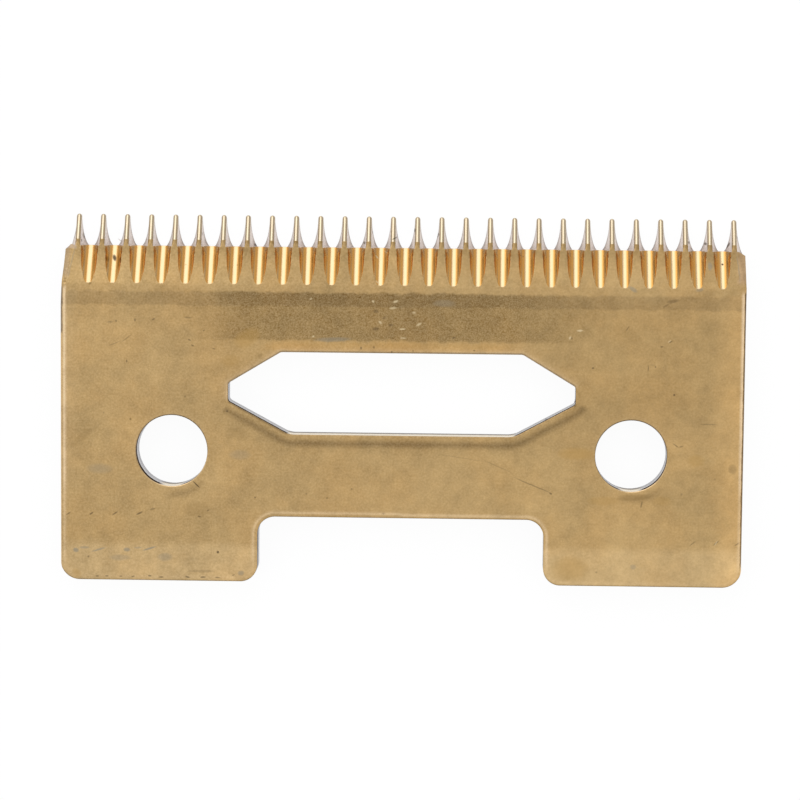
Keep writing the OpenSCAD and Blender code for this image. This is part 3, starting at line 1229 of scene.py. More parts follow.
class NodeBench:
    """Adds nodes to a tree and wires them up."""

    def __init__(self, tree: bpy.types.NodeTree) -> None:
        """Starts with an empty tree.

        Args:
            tree: The tree of a material or a world.
        """
        self.tree = tree
        tree.nodes.clear()

    def node(self, kind: str, **settings: object) -> bpy.types.Node:
        """Adds a node and sets its properties."""
        made = self.tree.nodes.new(f"ShaderNode{kind}")
        for key, value in settings.items():
            setattr(made, key, value)
        return made

    def feed(self, socket: bpy.types.NodeSocket, source: Source) -> None:
        """Links a socket to a source, or sets it to a constant."""
        if isinstance(source, bpy.types.NodeSocket):
            self.tree.links.new(source, socket)
        elif socket.type == "RGBA" and len(source) == 3:
            socket.default_value = (*source, 1.0)
        else:
            socket.default_value = source

    def math(self, operation: str, *sources: Source) -> bpy.types.NodeSocket:
        """Works out one number."""
        made = self.node("Math", operation=operation)
        for socket, source in zip(made.inputs, sources):
            self.feed(socket, source)
        return made.outputs[0]

    def line(self, value: Source, slope: Source, start: Source) -> bpy.types.NodeSocket:
        """Multiplies a number and adds to it."""
        return self.math("MULTIPLY_ADD", value, slope, start)

    def times(self, value: Source, factor: Source) -> bpy.types.NodeSocket:
        """Multiplies two numbers."""
        return self.math("MULTIPLY", value, factor)

    def vector(self, operation: str, *sources: Source) -> bpy.types.Node:
        """Works out one vector."""
        made = self.node("VectorMath", operation=operation)
        for socket, source in zip(made.inputs, sources):
            self.feed(socket, source)
        return made

    def scaled(self, vector: Source, scale: tuple[float, float, float]) -> bpy.types.NodeSocket:
        """Stretches a vector along the three axes."""
        return self.vector("MULTIPLY", vector, scale).outputs[0]

    def ramp(
        self, value: Source, low: float, high: float, start: float = 0.0, end: float = 1.0
    ) -> bpy.types.NodeSocket:
        """Turns a range of numbers smoothly into another.

        Args:
            value: The number.
            low: Where the range starts.
            high: Where it ends.
            start: What it starts as.
            end: What it ends as.

        Returns:
            The new number.
        """
        flip = low > high
        made = self.node("MapRange", interpolation_type="SMOOTHSTEP")
        ends = (high, low, end, start) if flip else (low, high, start, end)
        for socket, source in zip(made.inputs, (value, *ends)):
            self.feed(socket, source)
        return made.outputs[0]

    def noise(
        self, place: Source, scale: float, detail: float = 2.0, roughness: float = 0.5
    ) -> bpy.types.Node:
        """Adds soft noise.

        Args:
            place: Where it is worked out.
            scale: Waves in a millimetre.
            detail: Number of finer layers.
            roughness: Weight of the finer layers.

        Returns:
            The noise node.
        """
        made = self.node("TexNoise")
        self.feed(made.inputs["Vector"], place)
        self.feed(made.inputs["Scale"], scale)
        self.feed(made.inputs["Detail"], detail)
        self.feed(made.inputs["Roughness"], roughness)
        return made

    def cells(self, place: Source, scale: float) -> bpy.types.Node:
        """Adds cells that each have a middle and a chance number."""
        made = self.node("TexVoronoi")
        self.feed(made.inputs["Vector"], place)
        self.feed(made.inputs["Scale"], scale)
        return made

    def flecks(
        self, place: Source, scale: float, radius: float, share: float
    ) -> bpy.types.NodeSocket:
        """Scatters small spots.

        Args:
            place: Where they are worked out.
            scale: Cells in a millimetre.
            radius: Size of the largest spot against its cell.
            share: Share of the cells that have one.

        Returns:
            1 inside a spot and 0 outside.
        """
        cells = self.cells(place, scale)
        chance = self.node("SeparateColor")
        self.feed(chance.inputs[0], cells.outputs["Color"])
        size = self.ramp(chance.outputs[0], 1 - share, 1.0, 0.0, radius)
        inner = self.times(size, 0.35)
        made = self.node("MapRange", interpolation_type="SMOOTHSTEP")
        sources = (cells.outputs["Distance"], inner, self.math("ADD", size, 1e-4), 1.0, 0.0)
        for socket, source in zip(made.inputs, sources):
            self.feed(socket, source)
        chosen = self.math("GREATER_THAN", chance.outputs[0], 1 - share)
        return self.times(made.outputs[0], chosen)

    def blend(
        self, share: Source, first: Source, second: Source, kind: str = "MIX"
    ) -> bpy.types.NodeSocket:
        """Blends two colours.

        Args:
            share: Weight of the second.
            first: The first colour.
            second: The second colour.
            kind: How they blend.

        Returns:
            The blended colour.
        """
        made = self.node("Mix", data_type="RGBA", blend_type=kind)
        for number, source in ((0, share), (6, first), (7, second)):
            self.feed(made.inputs[number], source)
        return made.outputs[2]

    def gain(self, color: Source, amount: Source) -> bpy.types.NodeSocket:
        """Multiplies a colour by a number."""
        made = self.node("VectorMath", operation="SCALE")
        self.feed(made.inputs[0], color)
        self.feed(made.inputs["Scale"], amount)
        return made.outputs[0]

    def bump(self, height: Source, depth_mm: float) -> bpy.types.NodeSocket:
        """Makes a normal from a height.

        Args:
            height: The height, about from 0 to 1.
            depth_mm: How deep a height of 1 is.

        Returns:
            The normal.
        """
        made = self.node("Bump")
        self.feed(made.inputs["Strength"], 1.0)
        self.feed(made.inputs["Distance"], depth_mm * MM)
        self.feed(made.inputs["Height"], height)
        return made.outputs[0]


class FinishBench(NodeBench):
    """Adds the nodes of a metal finish on the blade."""

    def __init__(self, name: str, sizes: BladeSizes) -> None:
        """Starts a material and works out the place on the blade.

        Args:
            name: Name of the material.
            sizes: The blade's sizes.
        """
        self.material = bpy.data.materials.new(name)
        self.material.use_nodes = True
        super().__init__(self.material.node_tree)
        local = self.node("TexCoord").outputs["Object"]
        scaled = self.scaled(local, (1 / MM,) * 3)
        self.place = self.vector("ADD", scaled, (0, sizes.length / 2, 0)).outputs[0]
        parts = self.node("SeparateXYZ")
        self.feed(parts.inputs[0], self.place)
        self.across, self.along, self.height = parts.outputs

    def metal(
        self, color: Source, roughness: Source, normal: Source, glance: Source = (1.0, 1.0, 1.0)
    ) -> bpy.types.Material:
        """Adds the metal surface.

        Args:
            color: Its colour.
            roughness: Its roughness.
            normal: Its bumped normal.
            glance: Its tint where it is seen nearly edge-on.

        Returns:
            The material.
        """
        shader = self.node("BsdfPrincipled")
        self.feed(shader.inputs["Metallic"], 1.0)
        self.feed(shader.inputs["Base Color"], color)
        self.feed(shader.inputs["Roughness"], roughness)
        self.feed(shader.inputs["Normal"], normal)
        self.feed(shader.inputs["Specular Tint"], glance)
        output = self.node("OutputMaterial")
        self.tree.links.new(shader.outputs[0], output.inputs["Surface"])
        return self.material


class StainAndGlint(Enum):
    """The kinds of mark on the coating, with painted glints among them. The value is the colour."""

    PIT = (0.10, 0.07, 0.04)
    SLATE = (0.34, 0.31, 0.24)
    UMBER = (0.32, 0.2, 0.075)
    AMBER = (0.56, 0.34, 0.11)
    # Painted glints: bright specks and scratch lines where the coating catches the light.
    GLINT = (0.95, 0.78, 0.48)


PIT, SLATE, UMBER, AMBER, GLINT = StainAndGlint


@dataclass(frozen=True)
class Mark:
    """One mark, placed and sized in the pixels of the photograph.

    The turn is in degrees, anticlockwise from level.
    """

    name: str
    kind: StainAndGlint
    across: float
    down: float
    long: float
    wide: float
    strength: float
    turn: float = 0.0


MARKS = (
    Mark("smudge in the second flute", PIT, 114.6, 257.8, 3.6, 6.6, 0.95, 20),
    Mark("left edge of that smudge", UMBER, 107.3, 258.5, 3, 6, 0.8, 20),
    Mark("right edge of that smudge", UMBER, 120, 260, 3, 6, 0.8, -20),
    Mark("nick at the first flute", UMBER, 90, 283.3, 3.4, 2, 0.8, 30),
    Mark("nick across the fourteenth ridge", PIT, 394.5, 238.5, 5, 1.6, 0.7, 25),
    Mark("tick beside the fourteenth flute", GLINT, 377, 257, 4.5, 1.2, 0.7, -50),
    Mark("tick at its top", GLINT, 386.5, 252.5, 5, 1.4, 0.7, -40),
    Mark("tick at its foot", GLINT, 377, 282, 4, 1.4, 0.6, -50),
    Mark("spot on the twenty-seventh flute", PIT, 722.5, 264.5, 2.2, 2, 0.95),
    Mark("smudge on the last land", SLATE, 709.8, 266.5, 4.5, 8, 0.6),
    Mark("smudge by the last flute", SLATE, 700, 290, 8, 3.5, 0.4, 10),
    Mark("smudge on the right of the bevel", SLATE, 633, 289.5, 9, 4, 0.55, -30),
    Mark("dark smudge on the bevel break", PIT, 673, 301.5, 11, 3.6, 0.38, 8),
    Mark("its left tail", PIT, 666, 306, 7, 1.8, 0.3, 30),
    Mark("first tick of the left row", PIT, 116, 321, 2.4, 2.6, 0.4),
    Mark("second tick of the left row", PIT, 135, 320, 2.4, 2.8, 0.45),
    Mark("third tick of the left row", PIT, 153.3, 319.2, 3.6, 2, 0.5, 30),
    Mark("tick below the left row", PIT, 126.5, 361, 1.6, 3, 0.5),
    Mark("first tick by the window", PIT, 189.5, 340, 4, 1.5, 0.45, -35),
    Mark("second tick by the window", PIT, 192.5, 345.5, 3.6, 1.5, 0.5, -20),
    Mark("third tick by the window", PIT, 214, 348.8, 3, 1.4, 0.45, -20),
    Mark("fourth tick by the window", PIT, 203.5, 330.5, 2.4, 1.4, 0.4, 30),
    Mark("start of the curved scratch", PIT, 114, 343.5, 13, 1.1, 0.32, 22),
    Mark("end of the curved scratch", PIT, 126.5, 338.5, 13, 1.1, 0.3, 38),
    Mark("tint left of the window", AMBER, 247, 338, 26, 17, 0.5, 30),
    Mark("tint by the window's left end", AMBER, 231, 361, 18, 12, 0.3),
    Mark("spots by that tint", UMBER, 260, 355.5, 5, 3, 0.45, 30),
    Mark("smear above the window", SLATE, 333, 339.5, 34, 4.6, 0.5, 2),
    Mark("nick in the window's far edge", PIT, 391.7, 352, 1.2, 2.6, 0.7),
    Mark("second nick in that edge", PIT, 413, 351, 1.1, 3, 0.45, 10),
    Mark("pit by that edge", PIT, 361, 348, 2.4, 3.2, 0.5),
    Mark("second pit by that edge", PIT, 374, 347.3, 2, 2.4, 0.45),
    Mark("pit on the right of that edge", PIT, 474, 350.6, 2.6, 1.6, 0.45),
    Mark("first glint on the bridge", GLINT, 373, 301.5, 2.2, 3, 0.6, 40),
    Mark("second glint on the bridge", GLINT, 395.5, 301.5, 5.2, 2.4, 0.6, 20),
    Mark("third glint on the bridge", GLINT, 393, 308, 6.6, 2.6, 0.45, 10),
    Mark("fourth glint on the bridge", GLINT, 380, 322.5, 4.2, 2.2, 0.55, -40),
    Mark("fifth glint on the bridge", GLINT, 402.5, 329.2, 6, 1.6, 0.6),
    Mark("sixth glint on the bridge", GLINT, 419, 324.5, 6, 2.2, 0.5, 30),
    Mark("seventh glint on the bridge", GLINT, 403, 338.3, 6, 1.8, 0.45),
    Mark("eighth glint on the bridge", GLINT, 414, 312.5, 3, 2.2, 0.45),
    Mark("glint left of the bridge", GLINT, 313.3, 336.5, 2.4, 1.8, 0.6, 40),
    Mark("second glint left of the bridge", GLINT, 311, 299, 3, 2, 0.4, 30),
    Mark("first pit on the bridge", PIT, 376, 311.5, 5, 3.6, 0.4),
    Mark("second pit on the bridge", PIT, 376, 328.8, 6.4, 3, 0.45),
    Mark("third pit on the bridge", PIT, 391, 325, 5, 2.4, 0.4),
    Mark("fourth pit on the bridge", PIT, 384, 318, 4, 2.4, 0.35, 30),
    Mark("pit right of the bridge", PIT, 454, 337.5, 4, 1.8, 0.45, 20),
    Mark("smear on the bridge", SLATE, 444, 303.5, 22, 7, 0.3),
    Mark("glint by the window's right end", GLINT, 580, 331, 6, 2, 0.6),
    Mark("second glint there", GLINT, 570, 338, 3.6, 2, 0.5, 60),
    Mark("tick below it", PIT, 572, 338.5, 1.2, 2.6, 0.5),
    Mark("scratch right of the window", PIT, 627.5, 328.5, 5.6, 1.2, 0.4, 55),
    Mark("second scratch there", GLINT, 629.5, 329.5, 5.6, 1, 0.45, 55),
    Mark("tick on the right", PIT, 671, 342, 4.4, 1.4, 0.45, 35),
    Mark("second tick on the right", PIT, 662, 347, 3, 1.6, 0.5, 20),
    Mark("glint on the right", GLINT, 669.5, 341.5, 4, 1.2, 0.4, 35),
    Mark("upright tick on the right", PIT, 648.3, 368.5, 1.1, 6.4, 0.5),
    Mark("dot right of the window", PIT, 592.7, 368.2, 2.4, 2, 0.55, 20),
    Mark("dot beside the upright tick", PIT, 655.5, 367, 1.8, 1.8, 0.45),
    Mark("dot on the right", PIT, 674.3, 395, 2.2, 2.2, 0.65),
    Mark("dot on the left", UMBER, 130.3, 419, 2.2, 2.6, 0.75),
    Mark("dot under the window", PIT, 227, 411, 2.6, 2, 0.5),
    Mark("dot right of the left hole", PIT, 255, 497.5, 2.2, 2, 0.5),
    Mark("scratch from the left hole", PIT, 196.3, 484.3, 9.6, 1.3, 0.8, -45),
    Mark("smudge on the left", SLATE, 100, 468.5, 24, 10, 0.28),
    Mark("smear on the left", UMBER, 82, 437.5, 30, 7, 0.26, 40),
    Mark("smear under the window", UMBER, 237, 433.5, 24, 12, 0.24, -20),
    Mark("smear below that", SLATE, 240, 455, 20, 10, 0.24),
    Mark("first diagonal tick", PIT, 68.5, 513.5, 5.4, 1.5, 0.5, 35),
    Mark("second diagonal tick", PIT, 91.3, 513.5, 4.6, 1.7, 0.6, 35),
    Mark("third diagonal tick", PIT, 115, 513.3, 6.4, 1.5, 0.55, 35),
    Mark("fourth diagonal tick", PIT, 139.5, 513, 7.2, 1.7, 0.6, 32),
    Mark("dots beside the fourth tick", PIT, 152.5, 508.8, 6, 1.8, 0.4, 15),
    Mark("smear under the left hole", UMBER, 196, 509.5, 26, 15, 0.3),
    Mark("tick in that smear", PIT, 199.5, 516.5, 3.2, 1.5, 0.55),
    Mark("second tick in that smear", PIT, 208, 510.5, 3.2, 1.4, 0.45, 35),
    Mark("streak right of the right hole", PIT, 675.5, 445.5, 7, 1.3, 0.45, -30),
    Mark("second streak there", PIT, 681.5, 446.5, 4, 1.4, 0.4, 20),
    Mark("line right of the right hole", PIT, 709, 424.6, 17, 1.3, 0.3),
    Mark("speckles by the right side", PIT, 732.5, 469.5, 8, 9, 0.25),
    Mark("start of the long scratch", PIT, 533, 485.5, 40, 1.4, 0.4, -22),
    Mark("its far end", PIT, 551, 493.7, 3, 1.8, 0.5, -20),
    Mark("its left part", PIT, 497, 466, 30, 1.1, 0.22, -24),
    Mark("its wavy part", PIT, 462, 458, 44, 1.1, 0.18, -8),
    Mark("speck on the lower bridge", PIT, 306, 494, 2, 1.6, 0.4),
    Mark("second speck there", PIT, 327, 498, 2.2, 1.6, 0.4),
    Mark("third speck there", PIT, 352, 489, 1.8, 1.8, 0.35),
    Mark("tint by the right hole", AMBER, 577, 454, 36, 12, 0.5),
    Mark("tint below the right hole", AMBER, 603, 501, 30, 9, 0.35),
    Mark("second tint below it", AMBER, 662, 501, 18, 9, 0.3),
    Mark("tint right of the hole", AMBER, 696, 461, 16, 12, 0.4),
    Mark("tint on the right foot", AMBER, 570, 569, 34, 24, 0.45),
    Mark("shade under the right hole", UMBER, 634, 497.5, 34, 6, 0.42, 4),
    Mark("upright scratches below it", PIT, 641.5, 504.5, 1.6, 7, 0.45, -12),
    Mark("first print on the left foot", SLATE, 76, 550, 6, 4.4, 0.7),
    Mark("second print on the left foot", SLATE, 84.5, 547.5, 10, 2.6, 0.45),
    Mark("third print on the left foot", SLATE, 98.5, 549.5, 14, 2, 0.6, 18),
    Mark("fourth print on the left foot", SLATE, 126.8, 549.5, 6.4, 4, 0.65),
    Mark("fifth print on the left foot", SLATE, 138, 547.5, 8, 2.2, 0.4),
    Mark("sixth print on the left foot", SLATE, 149.5, 548.5, 13, 2, 0.7, 18),
    Mark("smudge on the left foot", SLATE, 165, 557, 14, 8, 0.35),
    Mark("smudge beside it", SLATE, 120, 557.5, 20, 6, 0.3),
    Mark("smudge at its corner", SLATE, 241, 573, 6, 5, 0.5),
    Mark("dot on the left foot", PIT, 218, 552, 2.4, 2.4, 0.75),
    Mark("second dot on the left foot", PIT, 88.6, 556.3, 2, 2, 0.5),
    Mark("tint on the left foot", AMBER, 76.5, 573, 10, 8, 0.4, -45),
    Mark("spot on the right foot", SLATE, 633, 567, 6, 5, 0.35),
    Mark("first scratch on the right foot", PIT, 692.5, 543.5, 7, 1.1, 0.4, 35),
    Mark("second scratch there", PIT, 716, 543.2, 7.4, 1.2, 0.45, 38),
    Mark("third scratch there", PIT, 736.5, 544.3, 5, 1.4, 0.45, 38),
    Mark("dashes at the left heel", PIT, 97, 576, 3, 1.5, 0.5),
    Mark("second of those dashes", PIT, 107, 576, 3.6, 1.4, 0.5),
    Mark("third of those dashes", PIT, 121, 576.3, 3, 1.5, 0.5),
    Mark("fourth of those dashes", PIT, 133, 576.2, 3.4, 1.5, 0.55, 20),
    Mark("fifth of those dashes", PIT, 149.5, 576, 3.6, 1.7, 0.6),
    Mark("sixth of those dashes", PIT, 161, 577, 4.8, 1.4, 0.6),
    Mark("seventh of those dashes", PIT, 187.5, 577, 4.6, 1.6, 0.65, -15),
    Mark("eighth of those dashes", PIT, 203, 577, 5.6, 1.6, 0.6),
    Mark("ninth of those dashes", PIT, 217.5, 577.5, 5, 1.4, 0.5),
    Mark("last of those dashes", PIT, 233.5, 575, 3.6, 1.4, 0.4, 20),
    # Painted shade lines along the edges of the shallow hollows by the corners.
    Mark("shade line by the left corner", SLATE, 71.5, 262, 31, 1.6, 0.35, 79),
    Mark("shade line by the right corner", SLATE, 738.5, 268, 29, 1.5, 0.4, 97),
    Mark("stain on a tooth left of the middle", PIT, 364.3, 243, 2.4, 3, 0.7),
    Mark("second stain there", PIT, 373.3, 231, 1.6, 5, 0.6, -15),
    Mark("stain right of the middle", PIT, 414.7, 230.5, 1.6, 4, 0.85),
    Mark("stain on the next tooth", PIT, 438, 235.5, 1.6, 5, 0.7, -15),
    Mark("stain on the last tooth but two", PIT, 706.2, 244.3, 2.6, 2.6, 0.75),
    Mark("stain beside the last tooth", PIT, 728.5, 245.5, 2, 6, 0.75, -30),
    Mark("stain on the right of the comb", PIT, 689.5, 243, 2, 3, 0.6),
    Mark("stain on the first tooth", PIT, 83.5, 236, 2.2, 6, 0.5, 15),
    Mark("pits at the left heel", PIT, 201, 571, 26, 3, 0.25),
)


class MarkMap:
    """Puts the marks of the photograph on the blade."""

    TRACE_STEPS = 6
    CORE = 0.12
    REACH = 1.7

    def __init__(self, shape: BladeShape, studio: "Studio") -> None:
        """Finds the place on the blade under each mark.

        Args:
            shape: The blade's shape.
            studio: The camera that took the photograph.
        """
        self.pixel = studio.camera_mm[2] / studio.focal_pixels
        pixels = np.array([(m.across, m.down) for m in MARKS])
        height = np.full(len(MARKS), shape.sizes.thickness)
        for _ in range(self.TRACE_STEPS):
            plan = studio.trace(pixels, height, shape.sizes.length)
            height = shape.outer.height(plan)
        self.middles = dict(zip((m.name for m in MARKS), plan))

    @staticmethod
    def _turned(bench: NodeBench, place: Source, turn: float) -> bpy.types.NodeSocket:
        """Turns the place on the blade, so that marks with that turn lie level."""
        cos, sin = math.cos(turn), math.sin(turn)
        turned = bench.node("CombineXYZ")
        for socket, axis in zip(turned.inputs, ((cos, sin, 0), (-sin, cos, 0))):
            bench.feed(socket, bench.vector("DOT_PRODUCT", place, axis).outputs["Value"])
        return turned.outputs[0]

    def mask(self, bench: NodeBench, place: Source, kind: StainAndGlint) -> bpy.types.NodeSocket:
        """Adds up the marks of one kind.

        Args:
            bench: Where the nodes go.
            place: The place on the blade.
            kind: The kind of mark.

        Returns:
            How strong the marks are at the place.
        """
        total: Source = 0.0
        last, turned = None, place
        for mark in sorted((m for m in MARKS if m.kind is kind), key=lambda m: m.turn):
            turn = math.radians(mark.turn)
            if mark.turn != last:
                turned = self._turned(bench, place, turn)
                last = mark.turn
            x, y = self.middles[mark.name]
            cos, sin = math.cos(turn), math.sin(turn)
            long, wide = (2 / (size * self.pixel) for size in (mark.long, mark.wide))
            shift = (-(x * cos + y * sin) * long, -(y * cos - x * sin) * wide, 0)
            local = bench.vector("MULTIPLY_ADD", turned, (long, wide, 0), shift).outputs[0]
            away = bench.vector("DOT_PRODUCT", local, local).outputs["Value"]
            spot = bench.ramp(away, self.REACH, self.CORE)
            total = bench.line(spot, mark.strength, total)
        return total


@dataclass(frozen=True)
class Tone:
    """A large patch of the satin face, painted lighter or darker than the rest; most such patches are
    painted light and shade.
    """

    across: tuple[float, float, float, float]
    along: tuple[float, float, float, float]
    color: tuple[float, float, float]

    def share(self, bench: FinishBench, place: Source) -> bpy.types.NodeSocket:
        """How much a place belongs to the patch.

        Args:
            bench: Where the nodes go.
            place: The place on the blade.

        Returns:
            1 inside the patch and 0 outside.
        """
        parts = bench.node("SeparateXYZ")
        bench.feed(parts.inputs[0], place)
        share = None
        for axis, ends in ((0, self.across), (1, self.along)):
            for low, high in ((ends[0], ends[1]), (ends[3], ends[2])):
                side = bench.ramp(parts.outputs[axis], low, high)
                share = side if share is None else bench.times(share, side)
        return share

    def apply(self, bench: FinishBench, place: Source, color: Source) -> bpy.types.NodeSocket:
        """Tints a colour inside the patch."""
        return bench.blend(self.share(bench, place), color, self.color, "MULTIPLY")


@dataclass(frozen=True)
class SatinGold:
    """The coated face, dull from blasting, with its worn edges and marks, and with painted light and shade
    by its edges and over its tilted patches.
    """

    color: tuple[float, float, float] = (0.595, 0.398, 0.176)
    warm: tuple[float, float, float] = (1.015, 0.995, 0.97)
    cool: tuple[float, float, float] = (0.99, 1.0, 1.015)
    # Painted light and shade by the edges: a painted highlight that is partly worn bright, a painted
    # shadow line, and a painted band of shade.
    rubbed_sheen: tuple[float, float, float] = (0.98, 0.73, 0.45)
    painted_shadow: tuple[float, float, float] = (0.16, 0.12, 0.09)
    painted_band_shade: tuple[float, float, float] = (0.58, 0.57, 0.57)
    speckle: tuple[float, float, float] = (0.33, 0.265, 0.165)
    roughness: float = 0.3

    def _painted_side_shade(self, shape: BladeShape) -> tuple[Tone, ...]:
        """The thin dark lines along the sides: painted shade where the rounded sides turn down."""
        side = shape.sizes.half_width
        front = (shape.sizes.bevel_break, shape.sizes.bevel_break + 0.3)
        right = (side - 0.14, side - 0.12, side + 1, side + 2)
        left = (-side - 2, -side - 1, 0.15 - side, 0.17 - side)
        return (
            Tone(right, (1.0, 1.8, *front), (0.33, 0.31, 0.28)),
            Tone(left, (16.6, 16.9, *front), (0.5, 0.53, 0.66)),
        )

    def _bridge(self, shape: BladeShape) -> Tone:
        """The dark patch on the bridge in front of the window: partly a painted dark reflection, partly
        rougher coating with coarser grain.
        """
        s = shape.sizes
        rows = (s.window_high + 0.7, s.window_high + 0.95, s.bevel_break - 0.2, s.bevel_break + 0.02)
        return Tone((-15.5, -10.0, 6.0, 15.0), rows, (0.71, 0.70, 0.68))

    def _tones(self, shape: BladeShape) -> tuple[Tone, ...]:
        """The large patches, laid out by the window, the bevel and the heel: painted light and shade where
        the face tilts, and the bridge patch.

        Args:
            shape: The blade's shape.

        Returns:
            The patches in the order in which they tint the coating.
        """
        s = shape.sizes
        bevel = (s.bevel_break - 0.2, s.bevel_break + 0.02)
        side, front = s.half_width, s.length
        far = side + 1
        wide = (-far - 1, -far, far, far + 1)
        left, right = (-far - 1, -far), (far, far + 1)
        teeth, heel = (front, front + 1), (-2.0, -1.0)
        return (
            # Darker bridge: partly a painted dark reflection, partly rougher coating.
            self._bridge(shape),
            # Painted shade in a band just behind the bevel break.
            Tone(wide, (18.6, 18.8, *bevel), (0.82, 0.82, 0.83)),
            # Painted light on the sloping heel.
            Tone(wide, (*heel, 2.1, 2.9), (1.15, 1.19, 1.29)),
            # Painted shade, a little darker, right of the middle round the window.
            Tone((1.0, 14.0, *right), (9.0, 13.5, 17.5, 19.5), (0.955, 0.945, 0.92)),
            # Painted light, a little lighter, on the right behind the window.
            Tone((1.0, 10.0, *right), (*heel, 8.0, 12.0), (1.05, 1.05, 1.04)),
            # Painted light along the right side.
            Tone((side - 2.6, side - 0.4, *right), (*heel, *bevel), (1.24, 1.2, 1.15)),
            # Painted light along the left side.
            Tone((*left, -side + 0.4, -side + 1.6), (6.0, 9.0, *bevel), (1.08, 1.1, 1.16)),
            # Painted reflection, cooler and lighter, along the left side by the teeth.
            Tone((*left, -side + 0.4, -side + 0.7), (20.3, 20.8, *teeth), (0.9, 0.95, 1.2)),
            # Painted reflection, cooler and lighter, along the right side by the teeth.
            Tone((side - 0.7, side - 0.4, *right), (20.3, 20.8, *teeth), (1.1, 1.1, 1.35)),
            # Painted light, warmer, just beyond the window's upper edge.
            Tone((-10.0, -8.0, 6.0, 8.5), (15.7, 15.75, 16.05, 16.6), (1.06, 0.98, 0.84)),
            # Painted reflection, cooler and lighter, at the left front corner.
            Tone((*left, 0.95 - side, 1 - side), (s.root - 0.2, s.root - 0.1, *teeth), (1.1, 1.2, 1.75)),
            # Painted shade behind the roots of the teeth.
            Tone(wide, (s.root - 1.35, s.root - 0.05, *teeth), (0.78, 0.775, 0.765)),
        )

    def material(self, shape: BladeShape, marks: MarkMap) -> bpy.types.Material:
        """Builds the finish.

        Args:
            shape: The blade's shape.
            marks: The marks of the photograph.

        Returns:
            The material.
        """
        bench = FinishBench("satin_gold", shape.sizes)
        wobble = bench.noise(bench.place, 1.6, 3.0, 0.6).outputs[1]
        wobble = bench.vector("SUBTRACT", wobble, (0.5, 0.5, 0.5)).outputs[0]
        broad = bench.vector("ADD", bench.place, bench.gain(wobble, 0.5)).outputs[0]
        close = bench.vector("ADD", bench.place, bench.gain(wobble, 0.12)).outputs[0]
        blotch = bench.noise(bench.place, 0.22, 4.0, 0.62).outputs[0]
        hue = bench.noise(bench.vector("ADD", bench.place, (31, 7, 0)).outputs[0], 0.3, 3.0)
        cloud = bench.noise(bench.place, 1.1, 6.0, 0.72).outputs[0]
        grain = bench.noise(bench.place, 7.0, 3.0, 0.65).outputs[0]
        color = bench.blend(bench.ramp(hue.outputs[0], 0.38, 0.66), self.cool, self.warm)
        color = bench.blend(1.0, color, self.color, "MULTIPLY")
        # Large patches of painted light and shade; the bridge patch is partly rougher coating.
        for tone in self._tones(shape):
            color = tone.apply(bench, broad, color)
        # Painted highlight, partly worn bright, painted band of shade and painted shadow line by the
        # edges.
        rubbed_sheen = bench.node("Attribute", attribute_name=EDGE_SHEEN_AND_RUBBING).outputs["Fac"]
        rubbed_sheen = bench.times(rubbed_sheen, bench.ramp(cloud, 0.2, 0.5, 0.55, 1.0))
        painted_band_shade = bench.node("Attribute", attribute_name=EDGE_SHADE_BAND).outputs["Fac"]
        color = bench.blend(painted_band_shade, color, self.painted_band_shade, "MULTIPLY")
        color = bench.blend(rubbed_sheen, color, self.rubbed_sheen)
        painted_shadow = bench.node("Attribute", attribute_name=EDGE_LIP_SHADOW).outputs["Fac"]
        color = bench.blend(painted_shadow, color, self.painted_shadow)
        # Painted shade lines along the sides.
        for tone in self._painted_side_shade(shape):
            color = tone.apply(bench, close, color)
        shade = bench.line(blotch, 0.6, 0.4)
        shade = bench.line(cloud, 0.62, bench.math("SUBTRACT", shade, 0.01))
        color = bench.gain(color, shade)
        rough = bench.noise(bench.place, 12.5, 2.0, 0.6).outputs[0]
        rough = bench.times(bench.math("SUBTRACT", rough, 0.5),
                           self._bridge(shape).share(bench, broad))
        grain = bench.times(bench.math("SUBTRACT", grain, 0.5),
                           bench.ramp(bench.across, -20.0, 20.0, 1.2, 0.8))
        grain = bench.line(rough, 1.5, grain)
        color = bench.vector("ADD", color, bench.gain(self.speckle, grain)).outputs[0]
        pits = bench.flecks(close, 0.9, 0.13, 0.22)
        slanted = bench.node("Mapping")
        slanted.inputs["Rotation"].default_value = (0, 0, math.radians(-35))
        slanted.inputs["Scale"].default_value = (0.45, 1.6, 1.0)
        bench.feed(slanted.inputs["Vector"], close)
        ticks = bench.flecks(slanted.outputs[0], 0.9, 0.14, 0.2)
        worn = bench.math("MAXIMUM", pits, ticks)
        worn = bench.times(worn, 0.35)
        color = bench.blend(worn, color, StainAndGlint.PIT.value)
        for kind in StainAndGlint:
            mask = marks.mask(bench, close, kind)
            mask = bench.math("MINIMUM", mask, 0.95)
            color = bench.blend(mask, color, kind.value)
            if kind is StainAndGlint.PIT:
                worn = bench.math("MAXIMUM", worn, mask)
        dull = bench.line(cloud, 0.1, self.roughness - 0.05)
        dull = bench.line(worn, 0.25, dull)
        dull = bench.line(rubbed_sheen, -0.1, dull)
        height = bench.noise(bench.place, 5.0, 5.0, 0.7).outputs[0]
        height = bench.line(worn, -2.0, height)
        return bench.metal(color, dull, bench.bump(height, 0.0016))


